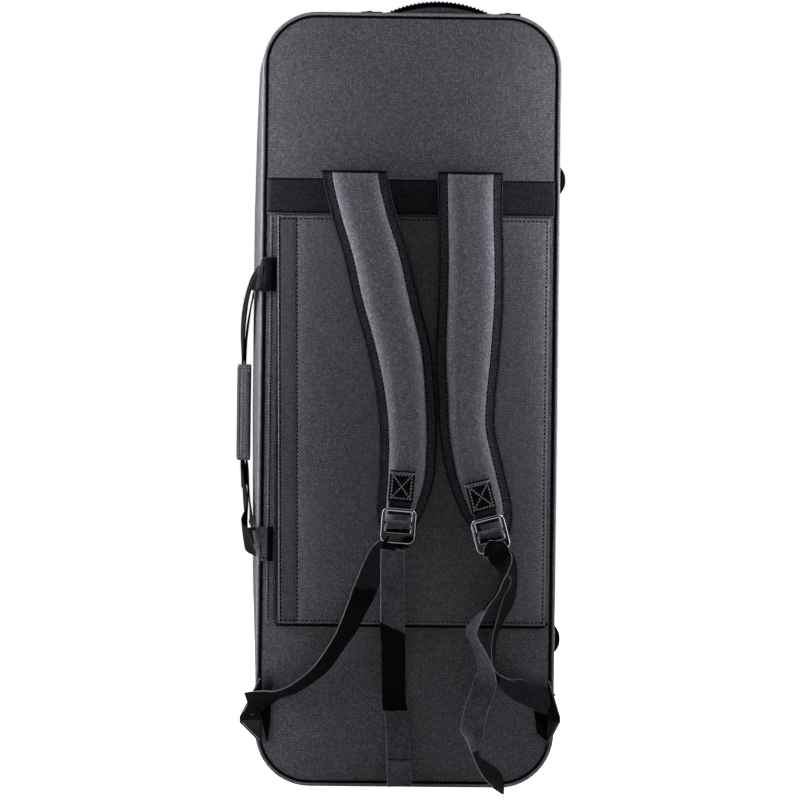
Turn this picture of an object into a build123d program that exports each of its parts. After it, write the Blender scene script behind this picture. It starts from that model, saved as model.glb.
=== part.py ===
from build123d import *
from math import acos, cos, floor, radians, sin
import os

# A soft case for a tenor saxophone, standing on its bottom end. The back panel with the shoulder
# straps faces -Y, the lid faces +Y, the carrying side is -X and the hinge side is +X. The origin is
# the centre of the bottom end, on the surface that the case stands on. Sizes are in millimetres.

# Overall case
case_height = 850.0
case_width = 328.0
case_depth = 215.0
lid_depth = 87.5
corner_radius = 60.0
wall_swell = 9.0
swell_low_share = 0.282
swell_high_share = 0.824

# Walls, from the outside in
skin = 1.5
glue_line = 0.3
foam_wall = 12.0
seam_rebate = 5.0
piping_radius = 2.3
piping_allowance = 1.7
overrun = 1.0

# Zip
zip_channel = 12.0
tape_thick = 0.8
tape_lap = 7.0
tape_inset = 1.7
coil_thick = 2.4
coil_width = 2.6
coil_gap = 1.6
zip_end_share = 0.37
end_tab_length = 22.0
end_tab_thick = 1.2

# Zip sliders and their pulls
slider_length = 16.0
slider_width = 9.6
slider_plate = 1.2
slider_clearance = 0.35
slider_blade = 1.0
slider_ear_thick = 1.4
slider_ear_gap = 5.0
slider_inset = 24.0
slider_spacing = 32.0
pull_pin_radius = 0.9
pull_pin_clearance = 0.08
pull_eye_radius = 2.1
pull_eye_lift = 0.35
pull_length = 26.0
pull_width = 7.0
pull_thick = 1.6
pull_hole_radius = 1.5

# Fitted interior
cradle_gap = 4.0
facing_thick = 1.7
facing_inset = 6.5
cavity_radius = 46.0
cavity_side = 33.0
cavity_foot = 44.0
cavity_head = 47.0
bell_bay_share = 0.58
cavity_floor = 13.5
tube_bay_left = 34.0
tube_bay_floor = 42.0
tube_bay_radius = 34.0
well_right = 6.0
well_wall = 52.0
well_floor = 34.0
well_radius = 24.0
hold_strap_width = 38.0
hold_strap_thick = 1.6
hold_strap_z_share = 0.74

# Hinge side
hinge_strip_thick = 1.2
hinge_strip_lap = 12.0
hinge_clearance = 0.3
foot_radius = 16.0
foot_height = 9.0
foot_rim = 2.0
foot_body_inset = 52.0
foot_lid_inset = 36.0
foot_low_z = 161.0
foot_top_drop = 179.0
foot_screw_radius = 4.0
foot_screw_recess = 2.2
foot_screw_clearance = 0.2
foot_screw_head = 1.8

# Back panel trim
band_width = 40.0
band_thick = 1.5
band_drop = 222.0
band_inset = 1.0
pocket_left_inset = 21.0
pocket_right_inset = 11.0
pocket_low_z = 178.5
pocket_seam_gap = 2.5
pocket_gap = 5.6
pocket_cloth = 1.2
pocket_underlay = 11.0
underlay_thick = 0.8
hem_width = 23.0
hem_thick = 0.6

# Shoulder pads
pad_full_width = 72.0
pad_length = 401.2
pad_overlap = 6.9
pad_flange = 11.0
pad_backing = 3.0
pad_side = 3.0
pad_crown = 8.5
pad_standoff = 0.4
pad_root_height = 19.0
pad_root_inset = 3.0
hinge_standoff = 0.3

# Webbing and buckles
strap_width = 25.0
strap_thick = 1.6
buckle_width = 38.0
buckle_thick = 3.2
buckle_bar = 4.4
buckle_end_bar = 4.4
buckle_upper_slot = 11.4
buckle_lower_slot = 6.6
buckle_lip = 12.0
buckle_slot_width = 27.0
buckle_corner = 6.0
bar_clearance = 0.3
tab_length = 39.0
tab_thick = 1.8
tab_crown_share = 0.9

# Corner tabs
corner_tab_low_z = 46.0
corner_tab_high_z = 125.0
corner_tab_apex_z = 84.0
corner_tab_reach = 17.0
corner_tab_short_reach = 7.0
corner_tab_root = 7.0
corner_tab_thick = 2.4

# Side handle
handle_strap_width = 38.0
handle_strap_thick = 1.8
handle_lower_run = 89.8
handle_upper_run = 98.0
handle_patch = 17.0
grip_middle_share = 0.4812
grip_length = 108.0
grip_reach = 25.2
grip_depth = 11.0
grip_cloth = 2.2
grip_width = 44.0
grip_clearance = 0.3
grip_strap_gap = 0.95
grip_round_share = 0.8
grip_turn = 90.0

# Top handle
top_handle_x = 30.0
top_handle_radius = 131.0
top_handle_rise = 17.8
top_handle_thick = 4.8
top_handle_width = 24.0
top_rib_radius = 1.2
top_rib_pitch = 4.5
top_foot_length = 22.0
top_foot_thick = 3.0
cap_length = 28.0
cap_width = 30.0
cap_thick = 2.4
rivet_radius = 3.2
rivet_shank_radius = 1.8
rivet_head = 1.4
rivet_spacing = 14.0
rivet_clearance = 0.05

# Planes that the pieces are set from
half_width = case_width / 2
half_depth = case_depth / 2
back_y = -half_depth
front_y = half_depth
zip_y = front_y - lid_depth
body_rim_y = zip_y - zip_channel / 2
lid_rim_y = zip_y + zip_channel / 2
shell_inset = skin + glue_line
lining_inset = shell_inset + foam_wall
cavity_low_z = cavity_foot
cavity_high_z = case_height - cavity_head
cavity_mid_z = cavity_low_z + bell_bay_share * (cavity_high_z - cavity_low_z)
well_low_z = cavity_mid_z + well_wall
band_low_z = case_height - band_drop
pocket_left = pocket_left_inset - half_width
pocket_right = half_width - pocket_right_inset
pocket_high_z = band_low_z - pocket_seam_gap
pad_top_z = band_low_z + band_width + pad_overlap
foot_high_z = case_height - foot_top_drop
grip_low_z = case_height * grip_middle_share - grip_length / 2
grip_high_z = grip_low_z + grip_length
grip_outer_x = -half_width - grip_reach
handle_low_z = grip_low_z - handle_lower_run
handle_high_z = grip_high_z + handle_upper_run
pocket_face_y = back_y - pocket_gap - pocket_cloth
pad_back_y = pocket_face_y - pad_standoff
pad_front_y = pad_back_y - pad_backing

parts = {}


# The case's outline and the walls that follow it
def swell_at(y):
    """How far the carrying side stands out at depth y: most at the zip, none at either panel."""
    if y <= zip_y:
        return wall_swell * (y - back_y) / (zip_y - back_y)
    return wall_swell * (front_y - y) / (front_y - zip_y)


def outline(y, inset, swell):
    """The closed outline at depth y, drawn in all round by inset."""
    radius = corner_radius - inset
    left = inset - half_width
    right = half_width - inset
    low = inset
    high = case_height - inset
    swell_low = case_height * swell_low_share
    swell_high = case_height * swell_high_share
    swell_mid = (swell_low + swell_high) / 2
    nook = radius * (1 - cos(radians(45)))
    if swell:
        bulge = ThreePointArc((left, y, swell_high), (left - swell, y, swell_mid), (left, y, swell_low))
    else:
        bulge = Line((left, y, swell_high), (left, y, swell_low))
    edges = [
        Line((left + radius, y, low), (right - radius, y, low)),
        ThreePointArc((right - radius, y, low), (right - nook, y, low + nook), (right, y, low + radius)),
        Line((right, y, low + radius), (right, y, high - radius)),
        ThreePointArc((right, y, high - radius), (right - nook, y, high - nook), (right - radius, y, high)),
        Line((right - radius, y, high), (left + radius, y, high)),
        ThreePointArc((left + radius, y, high), (left + nook, y, high - nook), (left, y, high - radius)),
        Line((left, y, high - radius), (left, y, swell_high)),
        bulge,
        Line((left, y, swell_low), (left, y, low + radius)),
        ThreePointArc((left, y, low + radius), (left + nook, y, low + nook), (left + radius, y, low)),
    ]
    return Wire(edges)


def slab(y_from, y_to, inset):
    """A solid slice of the case between two depths, drawn in by inset."""
    ends = [Face(outline(y, inset, swell_at(y))) for y in (y_from, y_to)]
    return loft(ends, ruled=True)


def ring(y_from, y_to, outer_inset, inner_inset):
    """A wall that follows the outline between two depths and two insets."""
    hole = slab(y_from - overrun, y_to + overrun, inner_inset)
    return slab(y_from, y_to, outer_inset) - hole


def block(x_span, y_span, z_span):
    """A box between two values on each axis."""
    spans = (x_span, y_span, z_span)
    middle = [(low + high) / 2 for low, high in spans]
    size = [high - low for low, high in spans]
    return Pos(*middle) * Box(*size)


def level(y):
    """A drawing plane at depth y whose own axes are X and Z, looked at from the back."""
    return Plane(origin=(0, y, 0), x_dir=(1, 0, 0), z_dir=(0, -1, 0))


def bay(x_span, z_span, radius, y_from, y_to):
    """A bay with rounded corners, as a solid to cut away."""
    shape = Pos((x_span[0] + x_span[1]) / 2, (z_span[0] + z_span[1]) / 2) * RectangleRounded(
        x_span[1] - x_span[0], z_span[1] - z_span[0], radius)
    return extrude(level(y_to) * shape, amount=y_to - y_from)


# Back half: panel, side wall, foam shell and the rolled edge between them
def make_back_half():
    parts["back_panel"] = extrude(Face(outline(back_y, seam_rebate, 0)), amount=skin, dir=(0, 1, 0))
    parts["body_gusset"] = ring(back_y + seam_rebate, body_rim_y, 0, skin)
    groove = seam_rebate + piping_allowance
    outer = slab(back_y + shell_inset, back_y + groove, groove)
    outer += slab(back_y + groove, body_rim_y - tape_lap, shell_inset)
    outer += slab(body_rim_y - tape_lap, body_rim_y, tape_inset + tape_thick + glue_line)
    hollow = slab(back_y + lining_inset, body_rim_y + overrun, lining_inset)
    parts["body_shell"] = outer - hollow
    parts["back_piping"] = piping(back_y + piping_radius + glue_line / 2)


def piping(y):
    """The round rolled edge that covers the seam between a panel and its side wall."""
    path = outline(y, piping_radius + glue_line / 2, 0)
    start = path @ 0
    section = Plane(origin=start, x_dir=(0, 1, 0), z_dir=path % 0) * Circle(piping_radius)
    return sweep(section, path=path)


# Lid half
def make_lid_half():
    parts["lid_panel"] = extrude(Face(outline(front_y, seam_rebate, 0)), amount=skin, dir=(0, -1, 0))
    parts["lid_gusset"] = ring(lid_rim_y, front_y - seam_rebate, 0, skin)
    groove = seam_rebate + piping_allowance
    outer = slab(front_y - groove, front_y - shell_inset, groove)
    outer += slab(lid_rim_y + tape_lap, front_y - groove, shell_inset)
    outer += slab(lid_rim_y, lid_rim_y + tape_lap, tape_inset + tape_thick + glue_line)
    hollow = slab(lid_rim_y - overrun, front_y - lining_inset, lining_inset)
    parts["lid_shell"] = outer - hollow
    parts["lid_piping"] = piping(front_y - piping_radius - glue_line / 2)


# Fitted interior: foam blocks cut to the instrument, faced with plush
def cavities(y_floor_side, y_open_side):
    """Bays for the bell and bows, the body tube, and the neck and mouthpiece."""
    away = 1 if y_open_side > y_floor_side else -1
    bays = []
    tables = (
        ((cavity_side - half_width, half_width - cavity_side),
         (cavity_low_z, cavity_mid_z), cavity_radius, cavity_floor),
        ((tube_bay_left, half_width - cavity_side),
         (cavity_mid_z - 2 * cavity_radius, cavity_high_z), tube_bay_radius, tube_bay_floor),
        ((cavity_side - half_width, well_right),
         (well_low_z, cavity_high_z), well_radius, well_floor),
    )
    for x_span, z_span, radius, floor_thick in tables:
        ends = sorted((y_floor_side + away * floor_thick, y_open_side + away * overrun))
        bays.append(bay(x_span, z_span, radius, *ends))
    return bays


def make_interior():
    inset = lining_inset + glue_line
    floor_y = back_y + inset
    facing_y = zip_y - cradle_gap - facing_thick
    cradle = slab(floor_y, facing_y - glue_line, inset)
    facing = slab(facing_y, zip_y - cradle_gap, facing_inset)
    for cut in cavities(floor_y, zip_y - cradle_gap):
        cradle -= cut
        facing -= cut
    parts["cradle"] = cradle
    parts["cradle_facing"] = facing

    lid_floor_y = front_y - inset
    lid_facing_y = zip_y + cradle_gap + facing_thick
    pad = slab(lid_facing_y + glue_line, lid_floor_y, inset)
    lid_facing = slab(zip_y + cradle_gap, lid_facing_y, facing_inset)
    for cut in cavities(lid_floor_y, zip_y + cradle_gap):
        pad -= cut
        lid_facing -= cut
    parts["lid_pad"] = pad
    parts["lid_facing"] = lid_facing

    make_hold_down_strap()


def make_hold_down_strap():
    """The two halves of the hold-down strap, unfastened and lying either side of the tube bay."""
    middle_z = case_height * hold_strap_z_share
    z_span = (middle_z - hold_strap_width / 2, middle_z + hold_strap_width / 2)
    face_y = zip_y - cradle_gap
    y_span = (face_y + glue_line, face_y + hold_strap_thick)
    outer_x = (half_width - cavity_side + hold_strap_thick, half_width - facing_inset - hold_strap_thick)
    inner_x = (well_right + hold_strap_thick, tube_bay_left - hold_strap_thick)
    halves = [block(x_span, y_span, z_span) for x_span in (outer_x, inner_x)]
    parts["hold_down_strap"] = Compound(children=halves)


# Zip: two tapes and two coils round three sides, ends covered by small tabs
def open_at_hinge(solid):
    """A ring with its hinge side left out."""
    reach = case_width + case_height
    return solid - block((case_width * zip_end_share, reach), (-reach, reach), (-reach, reach))


def make_zip():
    coil_inset = tape_inset + (tape_thick - coil_thick) / 2
    reach = zip_channel / 2 + tape_lap - glue_line
    for half, way in (("body", -1), ("lid", 1)):
        coil_near = zip_y + way * coil_gap / 2
        coil_far = coil_near + way * coil_width
        coil_ends = sorted((coil_near, coil_far))
        tape_ends = sorted((coil_far + way * glue_line / 2, zip_y + way * reach))
        coil = ring(*coil_ends, coil_inset, coil_inset + coil_thick)
        tape = ring(*tape_ends, tape_inset, tape_inset + tape_thick)
        parts[f"zip_coil_{half}"] = open_at_hinge(coil)
        parts[f"zip_tape_{half}"] = open_at_hinge(tape)


coil_mid_z = case_height - tape_inset - tape_thick / 2
slider_reach = coil_thick / 2 + slider_clearance
pull_pin_z = coil_mid_z + slider_reach + slider_plate + pull_eye_lift + pull_eye_radius
pull_eye_width = slider_ear_gap - 2 * slider_clearance


def cross_pin(x, y, radius, length):
    """A round bar along Y at the height of the pulls' pins."""
    return Plane(origin=(x, y, pull_pin_z), z_dir=(0, 1, 0)) * Cylinder(radius, length)


def zip_slider(x):
    """Two plates joined by a blade between the coils, with two ears and a pin on top."""
    plates = (coil_mid_z - slider_reach - slider_plate, coil_mid_z + slider_reach + slider_plate)
    length = (x - slider_length / 2, x + slider_length / 2)
    width = (zip_y - slider_width / 2, zip_y + slider_width / 2)
    blade = (zip_y - slider_blade / 2, zip_y + slider_blade / 2)
    body = block(length, width, (plates[1] - slider_plate, plates[1]))
    body += block(length, width, (plates[0], plates[0] + slider_plate))
    body = fillet(body.edges().filter_by(Axis.Z), slider_width / 3)
    body += block((x - slider_length / 4, x + slider_length / 4), blade, plates)
    for side in (-1, 1):
        ear_y = zip_y + side * (slider_ear_gap + slider_ear_thick) / 2
        ear_width = (ear_y - slider_ear_thick / 2, ear_y + slider_ear_thick / 2)
        body += block((x - pull_eye_radius, x + pull_eye_radius), ear_width,
                      (plates[1] - slider_plate, pull_pin_z))
        body += cross_pin(x, ear_y, pull_eye_radius, slider_ear_thick)
    return body + cross_pin(x, zip_y, pull_pin_radius, slider_ear_gap + slider_ear_thick)


def zip_pull(x, way):
    """A flat pull with an eye on the slider's pin and a hole near its free end."""
    thick = (pull_pin_z - pull_thick / 2, pull_pin_z + pull_thick / 2)
    neck = (zip_y - pull_eye_width / 2, zip_y + pull_eye_width / 2)
    wide = (zip_y - pull_width / 2, zip_y + pull_width / 2)
    far_x = x + way * pull_length
    pull = cross_pin(x, zip_y, pull_eye_radius, pull_eye_width)
    pull += block(sorted((x, far_x)), neck, thick)
    pull += block(sorted((x + way * pull_length / 3, far_x)), wide, thick)
    pull -= Pos(far_x - way * pull_width / 2, zip_y, pull_pin_z) * Cylinder(pull_hole_radius, pull_width)
    return pull - cross_pin(x, zip_y, pull_pin_radius + pull_pin_clearance, pull_width)


def make_sliders():
    """Two sliders on the straight run across the top end, each with a hinged pull."""
    left_x = corner_radius - half_width + slider_inset
    for name, x, way in (("left", left_x, -1), ("right", left_x + slider_spacing, 1)):
        parts[f"zip_slider_{name}"] = zip_slider(x)
        parts[f"zip_pull_{name}"] = zip_pull(x, way)


# Hinge side: the cloth strip that the lid turns on, the zip's end tabs and the side feet
def make_hinge_side():
    strip_x = (half_width + hinge_clearance, half_width + hinge_clearance + hinge_strip_thick)
    strip_y = (body_rim_y - hinge_strip_lap, lid_rim_y + hinge_strip_lap)
    parts["hinge_strip"] = block(strip_x, strip_y, (corner_radius, case_height - corner_radius))

    end_x = case_width * zip_end_share
    reach = case_width + case_height
    around = ring(body_rim_y + glue_line, zip_y - coil_gap / 2, tape_inset, tape_inset + end_tab_thick)
    parts["zip_end_tabs"] = around & block((end_x + glue_line, end_x + end_tab_length), (-reach, reach),
                                           (-reach, reach))

    for half, y in (("body", back_y + foot_body_inset), ("lid", front_y - foot_lid_inset)):
        feet = []
        screws = []
        for z in (foot_low_z, foot_high_z):
            place = Plane(origin=(half_width + hinge_clearance, y, z), x_dir=(0, 1, 0), z_dir=(1, 0, 0))
            feet.append(place * foot())
            screws.append(place * foot_screw())
        parts[f"feet_{half}"] = Compound(children=feet)
        parts[f"foot_screws_{half}"] = Compound(children=screws)


def foot():
    """A domed rubber foot with a sunk seat for its screw, base on the drawing plane."""
    dome_height = foot_height - foot_rim
    dome_radius = (foot_radius ** 2 + dome_height ** 2) / (2 * dome_height)
    base = Pos(0, 0, foot_rim / 2) * Cylinder(foot_radius, foot_rim)
    ball = Pos(0, 0, foot_height - dome_radius) * Sphere(dome_radius)
    trim = Pos(0, 0, foot_rim + dome_height / 2) * Cylinder(foot_radius, dome_height)
    dome = ball & trim
    seat_depth = foot_screw_recess + foot_screw_head
    seat = Pos(0, 0, foot_height - seat_depth / 2) * Cylinder(
        foot_screw_radius + foot_screw_clearance, seat_depth + foot_screw_clearance)
    return base + dome - seat


def foot_screw():
    """The screw's head in its seat."""
    middle = foot_height - foot_screw_recess - foot_screw_head / 2
    return Pos(0, 0, middle) * Cylinder(foot_screw_radius, foot_screw_head)


# Back trim: the black band, the flat pocket and its underlay
def make_back_trim():
    reach = half_width - seam_rebate - band_inset
    parts["strap_band"] = block((-reach, reach), (back_y - band_thick, back_y),
                                (band_low_z, band_low_z + band_width))
    face = (pocket_face_y, pocket_face_y + pocket_cloth)
    depth = (pocket_face_y, back_y)
    pocket = block((pocket_left, pocket_right), face, (pocket_low_z, pocket_high_z))
    pocket += block((pocket_left, pocket_right), depth, (pocket_low_z, pocket_low_z + pocket_cloth))
    pocket += block((pocket_left, pocket_right), depth, (pocket_high_z - pocket_cloth, pocket_high_z))
    pocket += block((pocket_right - pocket_cloth, pocket_right), depth, (pocket_low_z, pocket_high_z))
    parts["pocket_panel"] = pocket
    parts["pocket_hem"] = block(
        (pocket_left + hem_thick, pocket_left + hem_width),
        (pocket_face_y + pocket_cloth, pocket_face_y + pocket_cloth + hem_thick),
        (pocket_low_z + 2 * pocket_cloth, pocket_high_z - 2 * pocket_cloth))
    parts["pocket_underlay"] = block(
        (pocket_left - pocket_underlay, pocket_left - glue_line), (back_y - underlay_thick, back_y),
        (pocket_low_z, pocket_high_z))


# Flat webbing through stations: place, then where its face looks
def facing_vector(turn, tilt):
    """A direction: turn runs from the back towards the carrying side, tilt runs upwards."""
    flat = cos(radians(tilt))
    return Vector(-sin(radians(turn)) * flat, -cos(radians(turn)) * flat, sin(radians(tilt)))


def ribbon(stations, width, thick):
    """A flat strap through stations of a point and the direction that its face looks in."""
    sections = []
    last = len(stations) - 1
    for index, (point, face) in enumerate(stations):
        before = stations[max(index - 1, 0)][0]
        after = stations[min(index + 1, last)][0]
        along = (after - before).normalized()
        across = along.cross(face).normalized()
        plane = Plane(origin=point, x_dir=across, z_dir=along)
        sections.append(plane * Rectangle(width, thick))
    return loft(sections, ruled=True)


# Shoulder pads. Rows give the way down the pad, the middle, the width and the crown, as shares of the
# pad's length, the case's half width, the pad's full width and the pad's full crown.
pad_shares = {
    "left": (
        (0.000, -0.378, 1.00, 0.55), (0.114, -0.317, 1.00, 1.00), (0.233, -0.226, 1.01, 1.00),
        (0.350, -0.159, 1.01, 1.00), (0.485, -0.070, 0.99, 1.00), (0.623, -0.018, 0.91, 1.00),
        (0.733, 0.000, 0.88, 0.95), (0.843, -0.010, 0.85, 0.85), (0.924, -0.045, 0.74, 0.50),
        (1.000, -0.070, 0.50, 0.15)),
    "right": (
        (0.000, 0.396, 1.00, 0.55), (0.114, 0.400, 0.99, 1.00), (0.233, 0.409, 1.00, 1.00),
        (0.350, 0.409, 1.01, 1.00), (0.513, 0.393, 0.98, 1.00), (0.623, 0.390, 0.89, 1.00),
        (0.705, 0.396, 0.87, 0.95), (0.835, 0.463, 0.90, 0.85), (0.930, 0.533, 0.80, 0.50),
        (1.000, 0.575, 0.52, 0.15)),
}


def pad_section(z, middle, width, crown):
    """A crowned cross-section with short upright sides, flat at the back."""
    left = middle - width / 2
    right = middle + width / 2
    side_y = pad_front_y - pad_side
    top_y = side_y - crown
    edges = [
        Line((left, pad_front_y, z), (right, pad_front_y, z)),
        Line((right, pad_front_y, z), (right, side_y, z)),
        ThreePointArc((right, side_y, z), (middle, top_y, z), (left, side_y, z)),
        Line((left, side_y, z), (left, pad_front_y, z)),
    ]
    return Face(Wire(edges))


def backing_section(z, middle, width):
    """The flat flange under the pad."""
    place = Plane(origin=(middle, (pad_back_y + pad_front_y) / 2, z), x_dir=(1, 0, 0), z_dir=(0, 0, 1))
    return place * Rectangle(width, pad_backing - glue_line)


def make_pad(side):
    pads = []
    backings = []
    for down_share, x_share, width_share, crown_share in pad_shares[side]:
        z = pad_top_z - down_share * pad_length
        middle = x_share * half_width
        width = width_share * pad_full_width
        crown = crown_share * pad_crown
        pads.append(pad_section(z, middle, width - 2 * pad_flange, crown))
        backings.append(backing_section(z, middle, width))
    parts[f"pad_{side}"] = loft(pads)
    backing = loft(backings)
    middle = pad_shares[side][0][1] * half_width
    root_half = pad_full_width / 2 - pad_root_inset
    backing += block((middle - root_half, middle + root_half),
                     ((pad_back_y + pad_front_y) / 2, back_y - band_thick - hinge_standoff),
                     (pad_top_z - pad_root_height, pad_top_z))
    parts[f"pad_backing_{side}"] = backing


# Buckles and the webbing through them. Each buckle is drawn upright round its own middle bar and then
# turned to hang as its strap does: a share of the half width, of the way down the pad, and its turn.
buckle_shares = {
    "left": (-0.060, 0.962, 4.0),
    "right": (0.552, 0.983, -15.0),
}
buckle_low_z = -(buckle_bar / 2 + buckle_lower_slot + buckle_lip)
buckle_high_z = buckle_bar / 2 + buckle_upper_slot + buckle_end_bar
buckle_y = pad_front_y - pad_side - tab_crown_share * pad_crown - glue_line - tab_thick / 2
leg_offset = buckle_thick / 2 + bar_clearance + strap_thick / 2


def buckle_bar_z(side):
    """The height of a buckle's middle bar."""
    return pad_top_z - buckle_shares[side][1] * pad_length


def buckle_frame(side):
    """Where the buckle hangs: its middle bar, in front of the pad's lower end."""
    x_share, down_share, turn = buckle_shares[side]
    return Location((x_share * half_width, buckle_y, buckle_bar_z(side)), (0, turn, 0))


def buckle_plate():
    """A three-bar frame with rounded corners and a full, rounded lip, thick along Y."""
    height = buckle_high_z - buckle_low_z
    middle = (buckle_high_z + buckle_low_z) / 2
    shape = Pos(0, middle) * RectangleRounded(buckle_width, height, buckle_corner)
    upper = buckle_bar / 2 + buckle_upper_slot / 2
    lower = -buckle_bar / 2 - buckle_lower_slot / 2
    for z, slot in ((upper, buckle_upper_slot), (lower, buckle_lower_slot)):
        shape -= Pos(0, z) * RectangleRounded(buckle_slot_width, slot, buckle_thick / 2)
    return extrude(level(buckle_thick / 2) * shape, amount=buckle_thick)


def bar_wrap(z, height, thick):
    """A strap's turn round a bar at height z, as a closed band with rounded corners."""
    corner = bar_clearance + thick
    solid = RectangleRounded(buckle_thick + 2 * corner, height + 2 * corner, corner)
    hole = RectangleRounded(buckle_thick + 2 * bar_clearance, height + 2 * bar_clearance, bar_clearance)
    side_plane = Plane(origin=(-strap_width / 2, 0, z), x_dir=(0, 1, 0), z_dir=(1, 0, 0))
    return extrude(side_plane * (solid - hole), amount=strap_width)


def in_frame(place, y, z):
    """A station on the buckle's centre line, facing out of the buckle."""
    point = (place * Location((0, y, z))).position
    face = (place * Location((0, y - buckle_thick, z))).position - point
    return point, face.normalized()


# The load webbing and the free tails. Rows give a share of the half width, of the buckle's distance in
# front of the back panel and of the lip's height above the webbing's lower end, and then the direction
# that the webbing's face looks in.
load_shares = {
    "left": (
        (-0.200, 0.449, 0.864, 0, 0), (-0.290, 0.468, 0.689, 0, -14), (-0.366, 0.605, 0.518, 0, -28),
        (-0.488, 0.546, 0.337, 8, -50), (-0.598, 0.585, 0.218, 10, -62), (-0.744, 0.624, 0.126, 10, -68),
        (-0.890, 0.566, 0.079, 14, -60), (-0.985, 0.332, 0.042, 10, -20), (-1.050, 0.185, 0.006, 0, 0)),
    "right": (
        (0.690, 0.624, 0.900, -30, 0), (0.700, 0.839, 0.790, -62, 0), (0.644, 0.858, 0.625, -64, -6),
        (0.594, 0.819, 0.451, -58, -10), (0.584, 0.683, 0.296, -34, -16), (0.668, 0.468, 0.170, -6, -14),
        (0.838, 0.312, 0.103, 0, -8), (0.990, 0.185, 0.049, 0, 0)),
}
tail_shares = {
    "left": (
        (-0.086, 1.190, 0.792, 0, 0), (-0.084, 1.248, 0.656, 0, 0), (-0.070, 0.761, 0.475, 0, 0),
        (-0.052, 0.215, 0.336, 0, 0), (-0.034, 0.410, 0.145, 0, 0), (-0.026, 0.605, 0.010, 0, 0)),
    "right": (
        (0.655, 1.677, 0.900, 52, 14), (0.600, 1.638, 0.812, 72, 12), (0.520, 1.541, 0.740, 74, 24),
        (0.440, 1.404, 0.667, 64, 22), (0.452, 1.248, 0.609, 62, -8), (0.508, 1.092, 0.530, 52, -14),
        (0.534, 1.034, 0.448, 22, -8), (0.494, 1.190, 0.347, 4, 10), (0.418, 1.716, 0.219, -6, 22),
        (0.500, 2.555, 0.111, -14, 40), (0.590, 3.705, 0.010, -20, 72)),
}


def webbing_stations(side, rows, end_z):
    """Stations of a strap that runs from its buckle's lip down to end_z."""
    lip_z = buckle_bar_z(side) + buckle_low_z
    stations = []
    for x_share, out_share, up_share, turn, tilt in rows:
        point = Vector(x_share * half_width, back_y + out_share * (buckle_y - back_y),
                       end_z + up_share * (lip_z - end_z))
        stations.append((point, facing_vector(turn, tilt)))
    return stations


def make_strap_hardware(side):
    place = buckle_frame(side)
    end_bar_z = buckle_high_z - buckle_end_bar / 2
    parts[f"buckle_{side}"] = place * buckle_plate()

    wrap = bar_wrap(end_bar_z, buckle_end_bar, tab_thick)
    tab_low = buckle_high_z + bar_clearance
    plate = block((-strap_width / 2, strap_width / 2), (-tab_thick / 2, tab_thick / 2),
                  (tab_low + tab_thick / 2, tab_low + tab_length))
    parts[f"pad_tab_{side}"] = place * (wrap + plate)

    turn = place * bar_wrap(0, buckle_bar, strap_thick)
    turn_low = buckle_bar / 2 + bar_clearance
    lip_top = buckle_bar / 2 + buckle_lower_slot
    tail = [in_frame(place, 0, -turn_low - strap_thick / 2), in_frame(place, leg_offset, -lip_top),
            in_frame(place, leg_offset, buckle_low_z - strap_thick)]
    tail += webbing_stations(side, tail_shares[side], 0)
    parts[f"tail_webbing_{side}"] = turn + ribbon(tail, strap_width, strap_thick)

    behind_tail = leg_offset + strap_thick + bar_clearance
    load = [in_frame(place, behind_tail, -turn_low), in_frame(place, behind_tail, buckle_low_z)]
    load += webbing_stations(side, load_shares[side], corner_tab_apex_z)
    parts[f"load_webbing_{side}"] = ribbon(load, strap_width, strap_thick)


# Corner tabs: cloth triangles sewn into the back seam, which hold the lower ends of the webbing
def make_corner_tabs():
    for name, way, reach in (("left", -1, corner_tab_reach), ("right", 1, corner_tab_short_reach)):
        root = way * (half_width - corner_tab_root)
        apex = way * (half_width + reach)
        shape = Polygon((root, corner_tab_low_z), (root, corner_tab_high_z), (apex, corner_tab_apex_z),
                        align=None)
        face_y = back_y - glue_line
        parts[f"corner_tab_{name}"] = extrude(level(face_y) * shape, amount=corner_tab_thick, dir=(0, -1, 0))


# Side handle: one strap on each half, held together by a padded wrap with a flap. Rows lead from the
# patch sewn to the panel to the grip's end: shares of the way out, of the way to the zip and of the way
# along the case, then where the strap's face looks.
handle_shares = {
    "body": (
        ((0.202, 0.051, 0.000, 90), (0.311, 0.219, 0.035, 90), (0.661, 0.489, 0.199, 84),
         (0.933, 0.742, 0.487, 80), (1.018, 0.936, 0.800, 84)),
        ((0.202, 0.051, 0.000, 90), (0.311, 0.169, 0.009, 90), (0.762, 0.337, 0.095, 84),
         (0.607, 0.607, 0.312, 80), (0.809, 0.843, 0.587, 88), (0.933, 0.961, 0.824, 90))),
    "lid": (
        ((0.232, 0.074, 0.000, 90), (0.357, 0.246, 0.052, 90), (0.624, 0.541, 0.243, 88),
         (0.891, 0.811, 0.591, 90), (0.980, 0.958, 0.826, 90)),
        ((0.232, 0.074, 0.000, 90), (0.357, 0.246, 0.057, 90), (0.499, 0.491, 0.246, 88),
         (0.642, 0.762, 0.530, 88), (0.784, 0.958, 0.814, 90))),
}
grip_body_x = grip_outer_x + grip_cloth + grip_strap_gap + handle_strap_thick / 2
grip_lid_x = grip_body_x + handle_strap_thick + grip_strap_gap


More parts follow.
